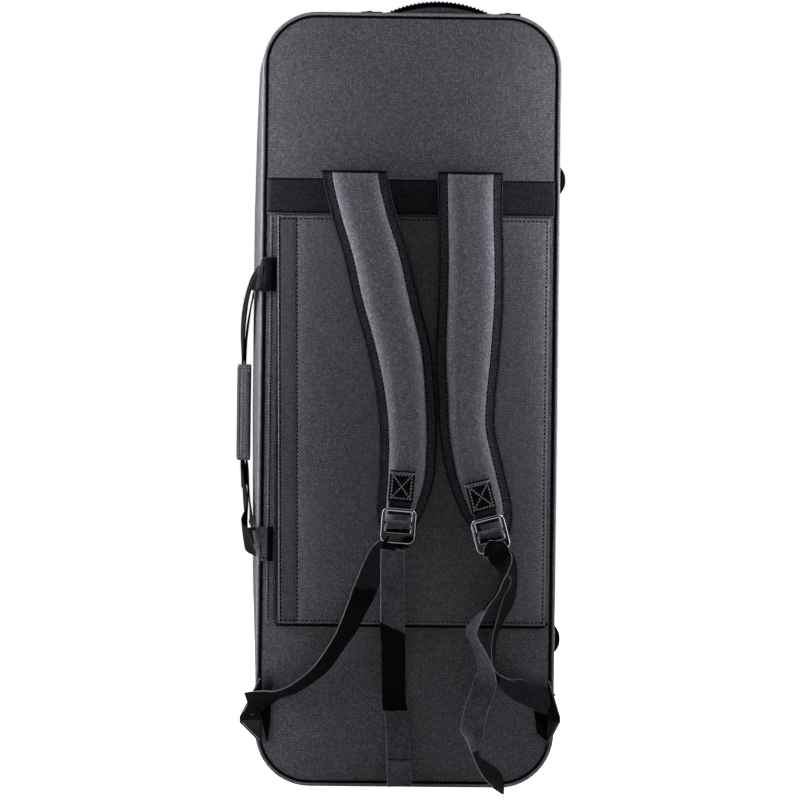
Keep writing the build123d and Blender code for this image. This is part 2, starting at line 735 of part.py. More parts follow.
def handle_end(rows, panel_y, outwards, grip_x, patch_z, grip_z):
    """Stations from the patch on a panel, round the panel's edge and out to the grip."""
    lift = underlay_thick + glue_line + handle_strap_thick / 2
    lay_y = panel_y + outwards * lift
    flat_turn = 0 if outwards < 0 else 180
    stations = [
        (Vector(handle_patch - half_width, lay_y, patch_z), facing_vector(flat_turn, 0)),
        (Vector(2 * lift - half_width, lay_y, patch_z), facing_vector(flat_turn, 0)),
        (Vector(-lift - half_width, lay_y - outwards * lift / 2, patch_z),
         facing_vector((flat_turn + grip_turn) / 2, 0)),
    ]
    for x_share, y_share, z_share, turn in rows:
        point = Vector(-half_width + x_share * (grip_x + half_width),
                       panel_y + y_share * (zip_y - panel_y),
                       patch_z + z_share * (grip_z - patch_z))
        stations.append((point, facing_vector(turn, 0)))
    stations.append((Vector(grip_x, zip_y, grip_z), facing_vector(grip_turn, 0)))
    return stations


def make_side_handle():
    sides = (("body", back_y, -1, grip_body_x), ("lid", front_y, 1, grip_lid_x))
    for half, panel_y, outwards, grip_x in sides:
        upper_rows, lower_rows = handle_shares[half]
        upper = handle_end(upper_rows, panel_y, outwards, grip_x, handle_high_z, grip_high_z)
        lower = handle_end(lower_rows, panel_y, outwards, grip_x, handle_low_z, grip_low_z)
        parts[f"handle_strap_{half}"] = ribbon(upper + lower[::-1], handle_strap_width, handle_strap_thick)

    inner_x = grip_outer_x + grip_depth
    near = zip_y - grip_width / 2
    far = zip_y + grip_width / 2
    z_span = (grip_low_z, grip_high_z)
    wall_x = (grip_outer_x + grip_cloth + grip_clearance, inner_x)
    wrap = block((inner_x - grip_cloth, inner_x), (near, far), z_span)
    wrap += block(wall_x, (near, near + grip_cloth), z_span)
    wrap += block(wall_x, (far - grip_cloth, far), z_span)
    flap = block((grip_outer_x, grip_outer_x + grip_cloth), (near, far), z_span)
    outer_edges = flap.edges().filter_by(Axis.Z).sort_by(Axis.X)[:2]
    parts["grip_wrap"] = wrap
    parts["grip_flap"] = fillet(outer_edges, grip_cloth * grip_round_share)


# Top handle: a ribbed rubber arch held at both ends by riveted caps
top_y = (back_y + body_rim_y + seam_rebate) / 2
top_crest_z = case_height + top_handle_rise
top_centre_z = top_crest_z - top_handle_radius
top_foot_low_z = case_height + glue_line
top_foot_high_z = top_foot_low_z + top_foot_thick
cap_low_z = top_foot_high_z + glue_line
cap_high_z = cap_low_z + cap_thick
top_foot_span = (top_y - top_handle_width / 2, top_y + top_handle_width / 2)


def top_arch():
    """The arched band, with a rib at every pitch along its upper face."""
    section = Circle(top_handle_radius) - Circle(top_handle_radius - top_handle_thick)
    place = level(top_foot_span[1]) * Pos(top_handle_x, top_centre_z)
    side = (top_handle_x - top_handle_radius, top_handle_x + top_handle_radius)
    arch = extrude(place * section, amount=top_handle_width)
    arch &= block(side, top_foot_span, (top_foot_low_z, top_crest_z + overrun))
    lowest_rib = top_foot_high_z + top_rib_radius - top_centre_z
    lean = acos(lowest_rib / top_handle_radius)
    ribs = floor(lean * top_handle_radius / top_rib_pitch)
    for step in range(-ribs, ribs + 1):
        angle = step * top_rib_pitch / top_handle_radius
        spot = (top_handle_x + top_handle_radius * sin(angle), top_y,
                top_centre_z + top_handle_radius * cos(angle))
        arch += Plane(origin=spot, z_dir=(0, 1, 0)) * Cylinder(top_rib_radius, top_handle_width)
    return arch


def rivet():
    """A rivet on the Z axis: a shank down to the case and a head on the cap."""
    shank_length = cap_high_z - top_foot_low_z
    shank = Pos(0, 0, top_foot_low_z + shank_length / 2) * Cylinder(rivet_shank_radius, shank_length)
    return shank + Pos(0, 0, cap_high_z + rivet_head / 2) * Cylinder(rivet_radius, rivet_head)


def rivet_hole():
    """The hole that a rivet's shank passes through."""
    depth = cap_high_z - case_height + overrun
    return Pos(0, 0, case_height + depth / 2) * Cylinder(rivet_shank_radius + rivet_clearance, depth)


def make_top_handle():
    handle = top_arch()
    rise = case_height - top_centre_z
    foot_x = (top_handle_radius ** 2 - rise ** 2) ** (1 / 2)
    caps = []
    rivets = []
    for way in (-1, 1):
        middle = top_handle_x + way * (foot_x + top_foot_length / 2 - top_handle_thick)
        cap_x = middle + way * top_handle_thick
        handle += block((middle - top_foot_length / 2, middle + top_foot_length / 2), top_foot_span,
                        (top_foot_low_z, top_foot_high_z))
        cap = block((cap_x - cap_length / 2 + top_handle_thick, cap_x + cap_length / 2),
                    (top_y - cap_width / 2, top_y + cap_width / 2), (cap_low_z, cap_high_z))
        for side in (-1, 1):
            spot = Pos(cap_x, top_y + side * rivet_spacing / 2)
            cap -= spot * rivet_hole()
            handle -= spot * rivet_hole()
            rivets.append(spot * rivet())
        caps.append(cap)
    parts["top_handle"] = handle
    parts["top_handle_caps"] = Compound(children=caps)
    parts["top_handle_rivets"] = Compound(children=rivets)


make_back_half()
make_lid_half()
make_interior()
make_zip()
make_sliders()
make_hinge_side()
make_back_trim()
for side in ("left", "right"):
    make_pad(side)
    make_strap_hardware(side)
make_corner_tabs()
make_side_handle()
make_top_handle()

os.makedirs("parts", exist_ok=True)
for name, solid in parts.items():
    export_step(solid, f"parts/{name}.step")
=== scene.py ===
from math import ceil, cos, exp, pi, radians, sin, sqrt

import bmesh
import bpy
from mathutils import Matrix, Vector, noise


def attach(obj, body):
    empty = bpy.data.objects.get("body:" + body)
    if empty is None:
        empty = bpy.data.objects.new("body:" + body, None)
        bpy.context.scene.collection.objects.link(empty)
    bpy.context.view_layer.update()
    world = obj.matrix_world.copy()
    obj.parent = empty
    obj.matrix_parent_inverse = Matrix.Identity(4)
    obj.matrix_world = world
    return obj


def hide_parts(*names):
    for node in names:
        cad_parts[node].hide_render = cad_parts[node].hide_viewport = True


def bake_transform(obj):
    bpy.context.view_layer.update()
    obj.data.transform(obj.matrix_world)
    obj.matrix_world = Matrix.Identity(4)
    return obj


bl_info = {
    "name": "Tenor saxophone case",
    "version": (1, 0, 0),
    "blender": (4, 5, 0),
    "location": "3D View > Sidebar > Case",
    "description": "Dresses the frame of a soft instrument case with cloth, webbing, zip and lining",
    "category": "Object",
}

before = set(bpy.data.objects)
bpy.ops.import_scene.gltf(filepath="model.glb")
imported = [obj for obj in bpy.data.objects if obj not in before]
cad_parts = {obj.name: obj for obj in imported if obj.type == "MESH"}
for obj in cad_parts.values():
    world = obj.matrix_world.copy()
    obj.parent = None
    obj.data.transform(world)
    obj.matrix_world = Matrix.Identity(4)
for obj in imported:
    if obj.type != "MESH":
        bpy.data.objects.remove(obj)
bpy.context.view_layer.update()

# Overall case, as in the frame
MM = 0.001
HALF_WIDTH = 164.0
HEIGHT = 850.0
BACK_Y = -107.5
FRONT_Y = 107.5
ZIP_Y = 20.0
CORNER = 60.0

# How far the carrying side stands out at the zip, by height, and the soft rise on the hinge side
SWELL = ((0, 0.0), (60, 0.8), (131, 2.6), (227, 6.4), (400, 8.9), (560, 9.4), (640, 9.2), (720, 7.6),
         (775, 5.8), (830, 3.4), (850, 2.4))
HINGE_RISE = ((340, 0.0), (365, 2.2), (395, 3.4), (425, 2.6), (450, 0.0))

BACK = Vector((0, -1, 0))


def linear(code):
    """A colour written as sRGB hex, in the linear values that shaders use; a linear one stays."""
    if not isinstance(code, str):
        return tuple(code)
    channels = [int(code[i:i + 2], 16) / 255 for i in (1, 3, 5)]
    return [c / 12.92 if c <= 0.04045 else ((c + 0.055) / 1.055) ** 2.4 for c in channels] + [1.0]


def length(name, description, value):
    """A size that the user can set: held in metres, written here in millimetres."""
    return bpy.props.FloatProperty(name=name, description=description, default=value * MM, min=0.05 * MM,
                                   soft_max=4 * value * MM, unit="LENGTH", precision=5)


def tint(name, description, code):
    """A colour that the user can set."""
    return bpy.props.FloatVectorProperty(name=name, description=description, default=linear(code), size=4,
                                         subtype="COLOR", min=0.0, max=1.0)


class CASE_PG_sizes(bpy.types.PropertyGroup):
    """Sizes of the cloth, the webbing, the padding and the stitches"""
    thread: length("Thread spacing", "Spacing of the nylon's threads, as coarse as it shows", 1.75)
    webbing: length("Webbing thickness", "Thickness of the load webbing and the tails", 1.5)
    tooth: length("Tooth pitch", "Distance from one zip tooth to the next", 2.1)
    pad_rise: length("Pad rise", "Height of a shoulder pad's crown above its flange", 7.4)
    lid_rise: length("Lid rise", "Height of the lid panel's soft rise", 2.2)
    stitch_length: length("Stitch length", "Length of one stitch", 2.6)
    stitch_width: length("Stitch width", "Width of one stitch's thread", 1.8)


class CASE_PG_colours(bpy.types.PropertyGroup):
    """Colours of the cloth, the webbing, the lining and the metal"""
    cloth_gap: tint("Cloth, gaps", "Shaded gaps between the nylon's threads", "#26262A")
    cloth_thread: tint("Cloth, threads", "Lit threads of the nylon", "#6A6A70")
    pocket_gap: tint("Pocket, gaps", "Shaded gaps of the pressed nylon", "#2A2A2E")
    pocket_thread: tint("Pocket, threads", "Lit threads of the pressed nylon", "#707076")
    pad_gap: tint("Pads, gaps", "Shaded gaps of the pads' nylon", "#36363C")
    pad_thread: tint("Pads, threads", "Lit threads of the pads' nylon", "#80808A")
    webbing: tint("Webbing", "Shaded grooves of the webbing", "#020203")
    webbing_rib: tint("Webbing, ribs", "Lit ribs of the webbing", "#131317")
    metal: tint("Buckles", "Black-nickel plate of the ladder buckles", "#77777E")
    plush: tint("Lining", "Plush velour inside the case", "#08080A")
    rubber: tint("Feet and caps", "Moulded rubber", "#030304")


def in_mm(size):
    """One of the sizes that the panel shows, in millimetres."""
    return getattr(bpy.context.scene.case_sizes, size) / MM


def between(rows, at):
    """The value at a place in a table of rising places and values."""
    if at <= rows[0][0]:
        return rows[0][1]
    for (low, a), (high, b) in zip(rows, rows[1:]):
        if at <= high:
            share = (at - low) / (high - low)
            return a + (b - a) * share
    return rows[-1][1]


def ease(share):
    """A share from 0 to 1 that starts and ends gently."""
    share = min(max(share, 0.0), 1.0)
    return share * share * (3 - 2 * share)


# Meshes
def linked(name, data):
    """A new object of the data, in the scene."""
    obj = bpy.data.objects.new(name, data)
    bpy.context.scene.collection.objects.link(obj)
    return obj


def turned_outwards(bm, mesh):
    """A worked mesh written back, its faces turned outwards."""
    bmesh.ops.recalc_face_normals(bm, faces=bm.faces)
    bm.to_mesh(mesh)
    bm.free()


def all_smooth(mesh, smooth=True):
    """Shades all faces of a mesh smooth, or all flat."""
    mesh.polygons.foreach_set("use_smooth", [smooth] * len(mesh.polygons))


def piece(name, shape, material, smooth=True):
    """A mesh from points in millimetres, faces and a weave map, its faces turned outwards."""
    points, faces, uvs = shape
    mesh = bpy.data.meshes.new(name)
    mesh.from_pydata([Vector(p) * MM for p in points], [], faces)
    if uvs:
        layer = mesh.uv_layers.new(name="weave")
        flat = [c * MM for face in uvs for corner in face for c in corner]
        layer.data.foreach_set("uv", flat)
    bm = bmesh.new()
    bm.from_mesh(mesh)
    turned_outwards(bm, mesh)
    all_smooth(mesh, smooth)
    mesh.materials.append(material)
    return linked(name, mesh)


def plain_mesh(source):
    """The mesh that an object's modifiers or curve make of it; the object itself goes."""
    bpy.context.view_layer.update()
    mesh = bpy.data.meshes.new_from_object(source.evaluated_get(bpy.context.evaluated_depsgraph_get()))
    bpy.data.objects.remove(source)
    return mesh


def dressed(name, mesh, material):
    """A smooth object of a mesh, in one material."""
    mesh.name = name
    mesh.materials.clear()
    mesh.materials.append(material)
    all_smooth(mesh)
    return linked(name, mesh)


def skin(rings, loop=False):
    """Points, faces and weave map of a closed section led through rings of points."""
    size = len(rings[0])
    count = len(rings)
    points = [p for ring in rings for p in ring]
    along = [0.0]
    for a, b in zip(rings, rings[1:] + rings[:1]):
        along.append(along[-1] + sum((q - p).length for p, q in zip(a, b)) / size)
    middle = rings[count // 2]
    across = [0.0]
    for a, b in zip(middle, middle[1:] + middle[:1]):
        across.append(across[-1] + (b - a).length)
    faces, uvs = [], []
    for i in range(count if loop else count - 1):
        near, far = i * size, ((i + 1) % count) * size
        for j in range(size):
            k = (j + 1) % size
            faces.append((near + j, near + k, far + k, far + j))
            uvs.append(((along[i], across[j]), (along[i], across[j + 1]),
                        (along[i + 1], across[j + 1]), (along[i + 1], across[j])))
    if not loop:
        for i in (0, count - 1):
            faces.append(tuple(i * size + j for j in range(size)))
            uvs.append(tuple((along[i], across[j]) for j in range(size)))
    return points, faces, uvs


def joined(parts):
    """Several lots of points, faces and weave maps as one."""
    points, faces, uvs = [], [], []
    for some_points, some_faces, some_uvs in parts:
        start = len(points)
        points += some_points
        faces += [tuple(start + index for index in face) for face in some_faces]
        uvs += some_uvs
    return points, faces, uvs


def four_round(stations, i):
    """A station, the one before it and the two after it, repeating the first and the last."""
    last = len(stations) - 1
    return [stations[min(max(k, 0), last)] for k in (i - 1, i, i + 1, i + 2)]


def curved(four, t):
    """A smooth curve through the middle two of four stations, at a share t of the way."""
    mixed = []
    for channel in (0, 1):
        a, b, c, d = (station[channel] for station in four)
        mixed.append(0.5 * ((2 * b) + (c - a) * t + (2 * a - 5 * b + 4 * c - d) * t * t
                            + (3 * b - a - 3 * c + d) * t ** 3))
    return mixed


def smooth_path(stations, step):
    """Stations of a point and a direction, joined by a smooth line and cut into short steps."""
    out = []
    for i in range(len(stations) - 1):
        four = four_round(stations, i)
        cuts = max(2, ceil((four[2][0] - four[1][0]).length / step))
        for cut in range(cuts):
            point, face = curved(four, cut / cuts)
            out.append((point, face.normalized()))
    out.append(stations[-1])
    return out


COLUMNS = (-0.8, -0.6, -0.4, -0.2, 0.0, 0.2, 0.4, 0.6, 0.8)
SELVEDGES = (0, 1, len(COLUMNS) + 3, len(COLUMNS) + 4)


def strap_section(width, thick):
    """A flat strap's section with rounded edges, as places across and out of its face."""
    half, deep = width / 2, thick / 2
    rows = [(-half, -0.35 * deep), (-half, 0.35 * deep), (-half + 0.5 * deep, deep)]
    rows += [(half * share, deep) for share in COLUMNS]
    rows += [(half - 0.5 * deep, deep), (half, 0.35 * deep), (half, -0.35 * deep),
             (half - 0.5 * deep, -deep)]
    rows += [(half * share, -deep) for share in reversed(COLUMNS)]
    return rows + [(-half + 0.5 * deep, -deep)]


def strap_rings(stations, width, thick, cup=0.0, step=4.0):
    """Rings of a strap through stations; cup curls its edges, as worn webbing does."""
    path = smooth_path(stations, step)
    section = strap_section(width, thick)
    rings = []
    for i, (point, face) in enumerate(path):
        along = (path[min(i + 1, len(path) - 1)][0] - path[max(i - 1, 0)][0]).normalized()
        across = along.cross(face).normalized()
        out = across.cross(along).normalized()
        rings.append([point + across * a + out * (n + cup * (2 * a / width) ** 2) for a, n in section])
    return rings


def strap(name, stations, width, thick, material, cup=0.0, step=4.0, edge=None, finish=None):
    """A strap; edge is the finish of its woven selvedges, their painted highlight; finish picks others by a
    face's centre, which paint light and shade.
    """
    obj = piece(name, skin(strap_rings(stations, width, thick, cup, step)), material)
    size = 2 * len(COLUMNS) + 8
    others = {}
    for face in obj.data.polygons:
        chosen = finish(face.center / MM) if finish else None
        if edge and face.index % size in SELVEDGES and len(face.vertices) == 4:
            chosen = edge if chosen is not MATERIALS["webbing_dull"] else chosen
        if chosen and chosen is not material:
            if chosen not in others:
                obj.data.materials.append(chosen)
                others[chosen] = len(obj.data.materials) - 1
            face.material_index = others[chosen]
    return obj


def facing(turn, tilt):
    """A direction: turn runs from the back towards the carrying side, tilt runs upwards."""
    flat = cos(radians(tilt))
    return Vector((-sin(radians(turn)) * flat, -cos(radians(turn)) * flat, sin(radians(tilt))))


# The case's outline. It starts in the middle of the hinge side and runs down, along the bottom, up
# the carrying side and back along the top.
def swell_share(y):
    """How much of the walls' swell stands at a depth y: all at the zip, none at either panel."""
    if y <= ZIP_Y:
        return (y - BACK_Y) / (ZIP_Y - BACK_Y)
    return (FRONT_Y - y) / (FRONT_Y - ZIP_Y)


def outline(inset, y):
    """The case's outline at a depth y, drawn in by an inset, with its walls' swell."""
    radius = max(CORNER - inset, 2.0)
    left, right, low, high = inset - HALF_WIDTH, HALF_WIDTH - inset, inset, HEIGHT - inset
    spots = []

    def run(start, end, cuts):
        for cut in range(cuts):
            share = cut / cuts
            spots.append((start[0] + (end[0] - start[0]) * share, start[1] + (end[1] - start[1]) * share))

    def turn(x, z, start, cuts=14):
        for cut in range(cuts):
            angle = radians(start - 90 * cut / cuts)
            spots.append((x + radius * cos(angle), z + radius * sin(angle)))

    middle = HEIGHT / 2
    run((right, middle), (right, low + radius), 32)
    turn(right - radius, low + radius, 0)
    run((right - radius, low), (left + radius, low), 26)
    turn(left + radius, low + radius, -90)
    run((left, low + radius), (left, high - radius), 64)
    turn(left + radius, high - radius, 180)
    run((left + radius, high), (right - radius, high), 26)
    turn(right - radius, high - radius, 90)
    run((right, high - radius), (right, middle), 32)
    share = max(swell_share(y), 0.0)
    out = []
    for x, z in spots:
        if x < 0:
            x -= between(SWELL, z) * share * ease((-x / HALF_WIDTH - 0.25) / 0.7)
        else:
            x += between(HINGE_RISE, z) * share * ease((x / HALF_WIDTH - 0.6) / 0.35)
        out.append(Vector((x, y, z)))
    return out


def outwards_along(path, longer):
    """Directions out of the case at a path's points; longer has one more point at each end."""
    centre = Vector((0, 0, HEIGHT / 2))
    outs = []
    for before, p, after in zip(longer, path, longer[2:]):
        along = after - before
        out = Vector((-along.z, 0, along.x)).normalized()
        outs.append(out if out.dot(p - centre) > 0 else -out)
    return outs


def clipped(path, low, high):
    """The runs of a closed path whose points have x between two values, cut exactly there."""
    runs, run = [], []
    size = len(path)
    start = next(i for i in range(size) if not low <= path[i].x <= high)
    for step in range(size):
        a, b = path[(start + step) % size], path[(start + step + 1) % size]
        inside_a, inside_b = low <= a.x <= high, low <= b.x <= high
        if inside_a != inside_b:
            edge = low if (min(a.x, b.x) < low) else high
            cut = a.lerp(b, (edge - a.x) / (b.x - a.x))
            run.append(cut)
            if inside_a:
                runs.append(run)
                run = []
        if inside_b:
            run.append(b)
    return [r for r in runs if len(r) > 1]


def around(profile, wobble=0.0, loop=True, span=None):
    """A section of (inset, y) points led round the case, or over the runs whose x is in a span."""
    paths = [outline(inset, y) for inset, y in profile]
    if span:
        cut_paths = [clipped(path, *span) for path in paths]
        lots = []
        for r in range(len(cut_paths[0])):
            count = max(len(cp[r]) for cp in cut_paths)
            columns = [even(cp[r], count) for cp in cut_paths]
            lots.append(skin([[c[i] for c in columns] for i in range(count)]))
        return joined(lots)
    rings = []
    for i in range(len(paths[0])):
        ring = []
        for path in paths:
            p = path[i]
            if wobble:
                out = Vector((p.x / HALF_WIDTH, 0, (p.z - HEIGHT / 2) / HEIGHT * 2)).normalized()
                p = p + out * wobble * noise.noise(p / 55)
            ring.append(p)
        rings.append(ring)
    return skin(rings, loop=loop)


def even(path, count):
    """A line of points cut again into an even number of points."""
    lengths = [0.0]
    for a, b in zip(path, path[1:]):
        lengths.append(lengths[-1] + (b - a).length)
    out = []
    k = 0
    for i in range(count):
        at = lengths[-1] * i / (count - 1)
        while k < len(path) - 2 and lengths[k + 1] < at:
            k += 1
        share = (at - lengths[k]) / max(lengths[k + 1] - lengths[k], 1e-9)
        out.append(path[k].lerp(path[k + 1], min(max(share, 0), 1)))
    return out


# Stitches are gathered here while the pieces are made, and sewn at the end by Geometry Nodes.
STITCHES = {}


def sew(body, thread, points, faces, pitch=3.4):
    """A row of stitches along points, lying on the cloth that faces the given directions."""
    if isinstance(faces, Vector):
        faces = [faces] * len(points)
    STITCHES.setdefault((body, thread, pitch), []).append((points, faces))


def sew_lines(body, thread, corners, place, faces, pitch=3.4, cuts=6):
    """Straight rows from corner to corner, whose two numbers place() turns into a point."""
    for (ax, az), (bx, bz) in zip(corners, corners[1:]):
        sew(body, thread, [place(ax + (bx - ax) * k / cuts, az + (bz - az) * k / cuts)
                           for k in range(cuts + 1)], faces, pitch)


# Materials
def add_node(tree, kind, settings=None, inputs=None):
    """A node with its settings, and its inputs given values or linked to other sockets."""
    node = tree.nodes.new(kind)
    for key, value in (settings or {}).items():
        setattr(node, key, value)
    for key, value in (inputs or {}).items():
        if isinstance(value, bpy.types.NodeSocket):
            tree.links.new(value, node.inputs[key])
        else:
            node.inputs[key].default_value = value
    return node


def sums(tree, operation, *values):
    """One sum on sockets or numbers."""
    node = add_node(tree, "ShaderNodeMath", {"operation": operation}, dict(enumerate(values)))
    return node.outputs[0]


def vectors(tree, operation, *values):
    """One sum on sockets or fixed values of three numbers."""
    node = add_node(tree, "ShaderNodeVectorMath", {"operation": operation}, dict(enumerate(values)))
    return node.outputs["Vector"]


def lumps(tree, size, roughness=0.5):
    """Soft noise at the piece's own place, of a size in millimetres."""
    place = add_node(tree, "ShaderNodeTexCoord").outputs["Object"]
    return add_node(tree, "ShaderNodeTexNoise", None, {
        "Vector": place, "Scale": 1 / (size * MM), "Detail": 3.0, "Roughness": roughness}).outputs["Fac"]


def blank_material(name, **shader_values):
    """A material with one main shader, whose plain values are set on its own sockets."""
    material = bpy.data.materials.new(name)
    material.use_nodes = True
    tree = material.node_tree
    tree.nodes.clear()
    shader = add_node(tree, "ShaderNodeBsdfPrincipled", None, shader_values)
    add_node(tree, "ShaderNodeOutputMaterial", None, {"Surface": shader.outputs["BSDF"]})
    return material, tree, shader


def surfaced(tree, shader, low, high, lit, height, bump, strength=0.8):
    """The shader's colour between two, by how lit it is, and its relief in millimetres."""
    colour = add_node(tree, "ShaderNodeMix", {"data_type": "RGBA"}, {
        "Factor": lit, "A": linear(low), "B": linear(high)})
    raised = add_node(tree, "ShaderNodeBump", None, {
        "Height": height, "Distance": bump * MM, "Strength": strength})
    tree.links.new(colour.outputs["Result"], shader.inputs["Base Color"])
    tree.links.new(raised.outputs["Normal"], shader.inputs["Normal"])


def weave_map(tree, width, deep, turn=0.0):
    """The piece's own map, counted in threads that are so wide and deep, in millimetres."""
    place = add_node(tree, "ShaderNodeUVMap", {"uv_map": "weave"})
    turned = add_node(tree, "ShaderNodeMapping", None, {
        "Vector": place.outputs["UV"], "Rotation": (0, 0, radians(turn))})
    return vectors(tree, "MULTIPLY", turned.outputs["Vector"], (1 / (width * MM), 1 / (deep * MM), 0))


def ridge(tree, value):
    """A row of rounded threads, one for each whole step of a value."""
    return sums(tree, "ABSOLUTE", sums(tree, "SINE", sums(tree, "MULTIPLY", value, pi)))


def woven_cloth(name, low, high, thread, turn=0.0, roughness=0.8, bump=0.35, cloud=0.12, checker=0.55,
                slub=0.3, slant=0.0):
    """Plain-woven cloth: threads pass over and under in a checker, so light dots stand in slanting rows."""
    material, tree, shader = blank_material(name, **{"Roughness": roughness, "Specular IOR Level": 0.05})
    threads = weave_map(tree, thread, thread, turn)
    split = add_node(tree, "ShaderNodeSeparateXYZ", None, {"Vector": threads})
    a, b = ridge(tree, split.outputs["X"]), ridge(tree, split.outputs["Y"])
    cell = vectors(tree, "FLOOR", threads)
    lifted = vectors(tree, "ADD", threads, (0, 0, 0.5))
    over = add_node(tree, "ShaderNodeTexChecker", None, {"Vector": lifted, "Scale": 1.0})
    warp, weft = (
        sums(tree, "MULTIPLY", sums(tree, "POWER", one, 0.6), sums(tree, "MULTIPLY_ADD", two, 0.45, 0.55))
        for one, two in ((a, b), (b, a)))
    height = add_node(tree, "ShaderNodeMix", {"data_type": "FLOAT"}, {
        "Factor": over.outputs["Fac"], "A": warp, "B": weft}).outputs["Result"]
    wide = lumps(tree, 80, 0.55)
    spark = add_node(tree, "ShaderNodeTexWhiteNoise", {"noise_dimensions": "3D"}, {"Vector": cell})
    bright = sums(tree, "POWER", spark.outputs["Value"], 5.0)
    dull = sums(tree, "POWER", sums(tree, "SUBTRACT", 1.0, spark.outputs["Value"]), 8.0)
    lit = sums(tree, "MULTIPLY", height, 0.5)
    lit = sums(tree, "MULTIPLY_ADD", over.outputs["Fac"], checker, lit)
    lit = sums(tree, "MULTIPLY_ADD", bright, slub, lit)
    lit = sums(tree, "MULTIPLY_ADD", dull, -0.6 * slub, lit)
    if slant:
        both = sums(tree, "ADD", split.outputs["X"], split.outputs["Y"])
        row = ridge(tree, sums(tree, "MULTIPLY", both, 0.5))
        lit = sums(tree, "MULTIPLY_ADD", row, slant, sums(tree, "SUBTRACT", lit, slant * 0.6))
    lit = sums(tree, "MULTIPLY_ADD", wide, cloud * 2, sums(tree, "SUBTRACT", lit, cloud + 0.1))
    surfaced(tree, shader, low, high, lit, height, bump)
    return material


def ribbed_webbing(name, base, crest, rib=1.9, bump=0.4, flecks=0.0):
    """Webbing: ribs across the strap, cut by finer warp threads along it; flecks breaks the ribs up."""
    material, tree, shader = blank_material(name, **{"Roughness": 0.7, "Specular IOR Level": 0.02})
    threads = weave_map(tree, rib, 1.5)
    split = add_node(tree, "ShaderNodeSeparateXYZ", None, {"Vector": threads})
    half = sums(tree, "MULTIPLY", sums(tree, "FLOOR", split.outputs["Y"]), 0.5)
    ribs = ridge(tree, sums(tree, "ADD", split.outputs["X"], half))
    warp = ridge(tree, split.outputs["Y"])
    cut = sums(tree, "MULTIPLY_ADD", warp, 0.4, 0.6)
    height = sums(tree, "MULTIPLY", sums(tree, "POWER", ribs, 0.7), cut)
    lit = sums(tree, "MULTIPLY_ADD", lumps(tree, 25), 0.5, sums(tree, "SUBTRACT", height, 0.25))
    if flecks:
        whole = vectors(tree, "FLOOR", vectors(tree, "MULTIPLY", threads, (1.0, 0.6, 1.0)))
        fleck = add_node(tree, "ShaderNodeTexWhiteNoise", {"noise_dimensions": "3D"}, {
            "Vector": whole}).outputs["Value"]
        lit = sums(tree, "MULTIPLY", lit, sums(tree, "MULTIPLY_ADD", fleck, flecks, 1 - 0.55 * flecks))
    surfaced(tree, shader, base, crest, lit, height, bump)
    return material


def grained(name, base, crest, grain, roughness, metallic=0.0, bump=0.05, spread=0.12, sheen=0.0,
            level=0.5):
    """A solid material whose grain of a real size shows in its colour, gloss and surface."""
    material, tree, shader = blank_material(name, **{
        "Metallic": metallic, "Sheen Weight": sheen, "Specular IOR Level": level})
    fine = lumps(tree, grain, 0.6)
    rough = add_node(tree, "ShaderNodeMapRange", None, {
        "Value": fine, "To Min": roughness - spread, "To Max": roughness + spread})
    tree.links.new(rough.outputs["Result"], shader.inputs["Roughness"])
    surfaced(tree, shader, base, crest, fine, fine, bump, 0.7)
    return material


def beaded_foam(name):
    """Expanded foam: dark grey beads pressed together, with a fine line between them."""
    material, tree, shader = blank_material(name, **{"Roughness": 0.85, "Specular IOR Level": 0.2})
    place = add_node(tree, "ShaderNodeTexCoord").outputs["Object"]
    beads = add_node(tree, "ShaderNodeTexVoronoi", {"feature": "DISTANCE_TO_EDGE"}, {
        "Vector": place, "Scale": 1 / (4.5 * MM)}).outputs["Distance"]
    wall = add_node(tree, "ShaderNodeMapRange", None, {"Value": beads, "From Max": 0.12}).outputs["Result"]
    surfaced(tree, shader, "#0A0A0B", "#202023", wall, wall, 0.2, 0.6)
    return material


MATERIALS = {}


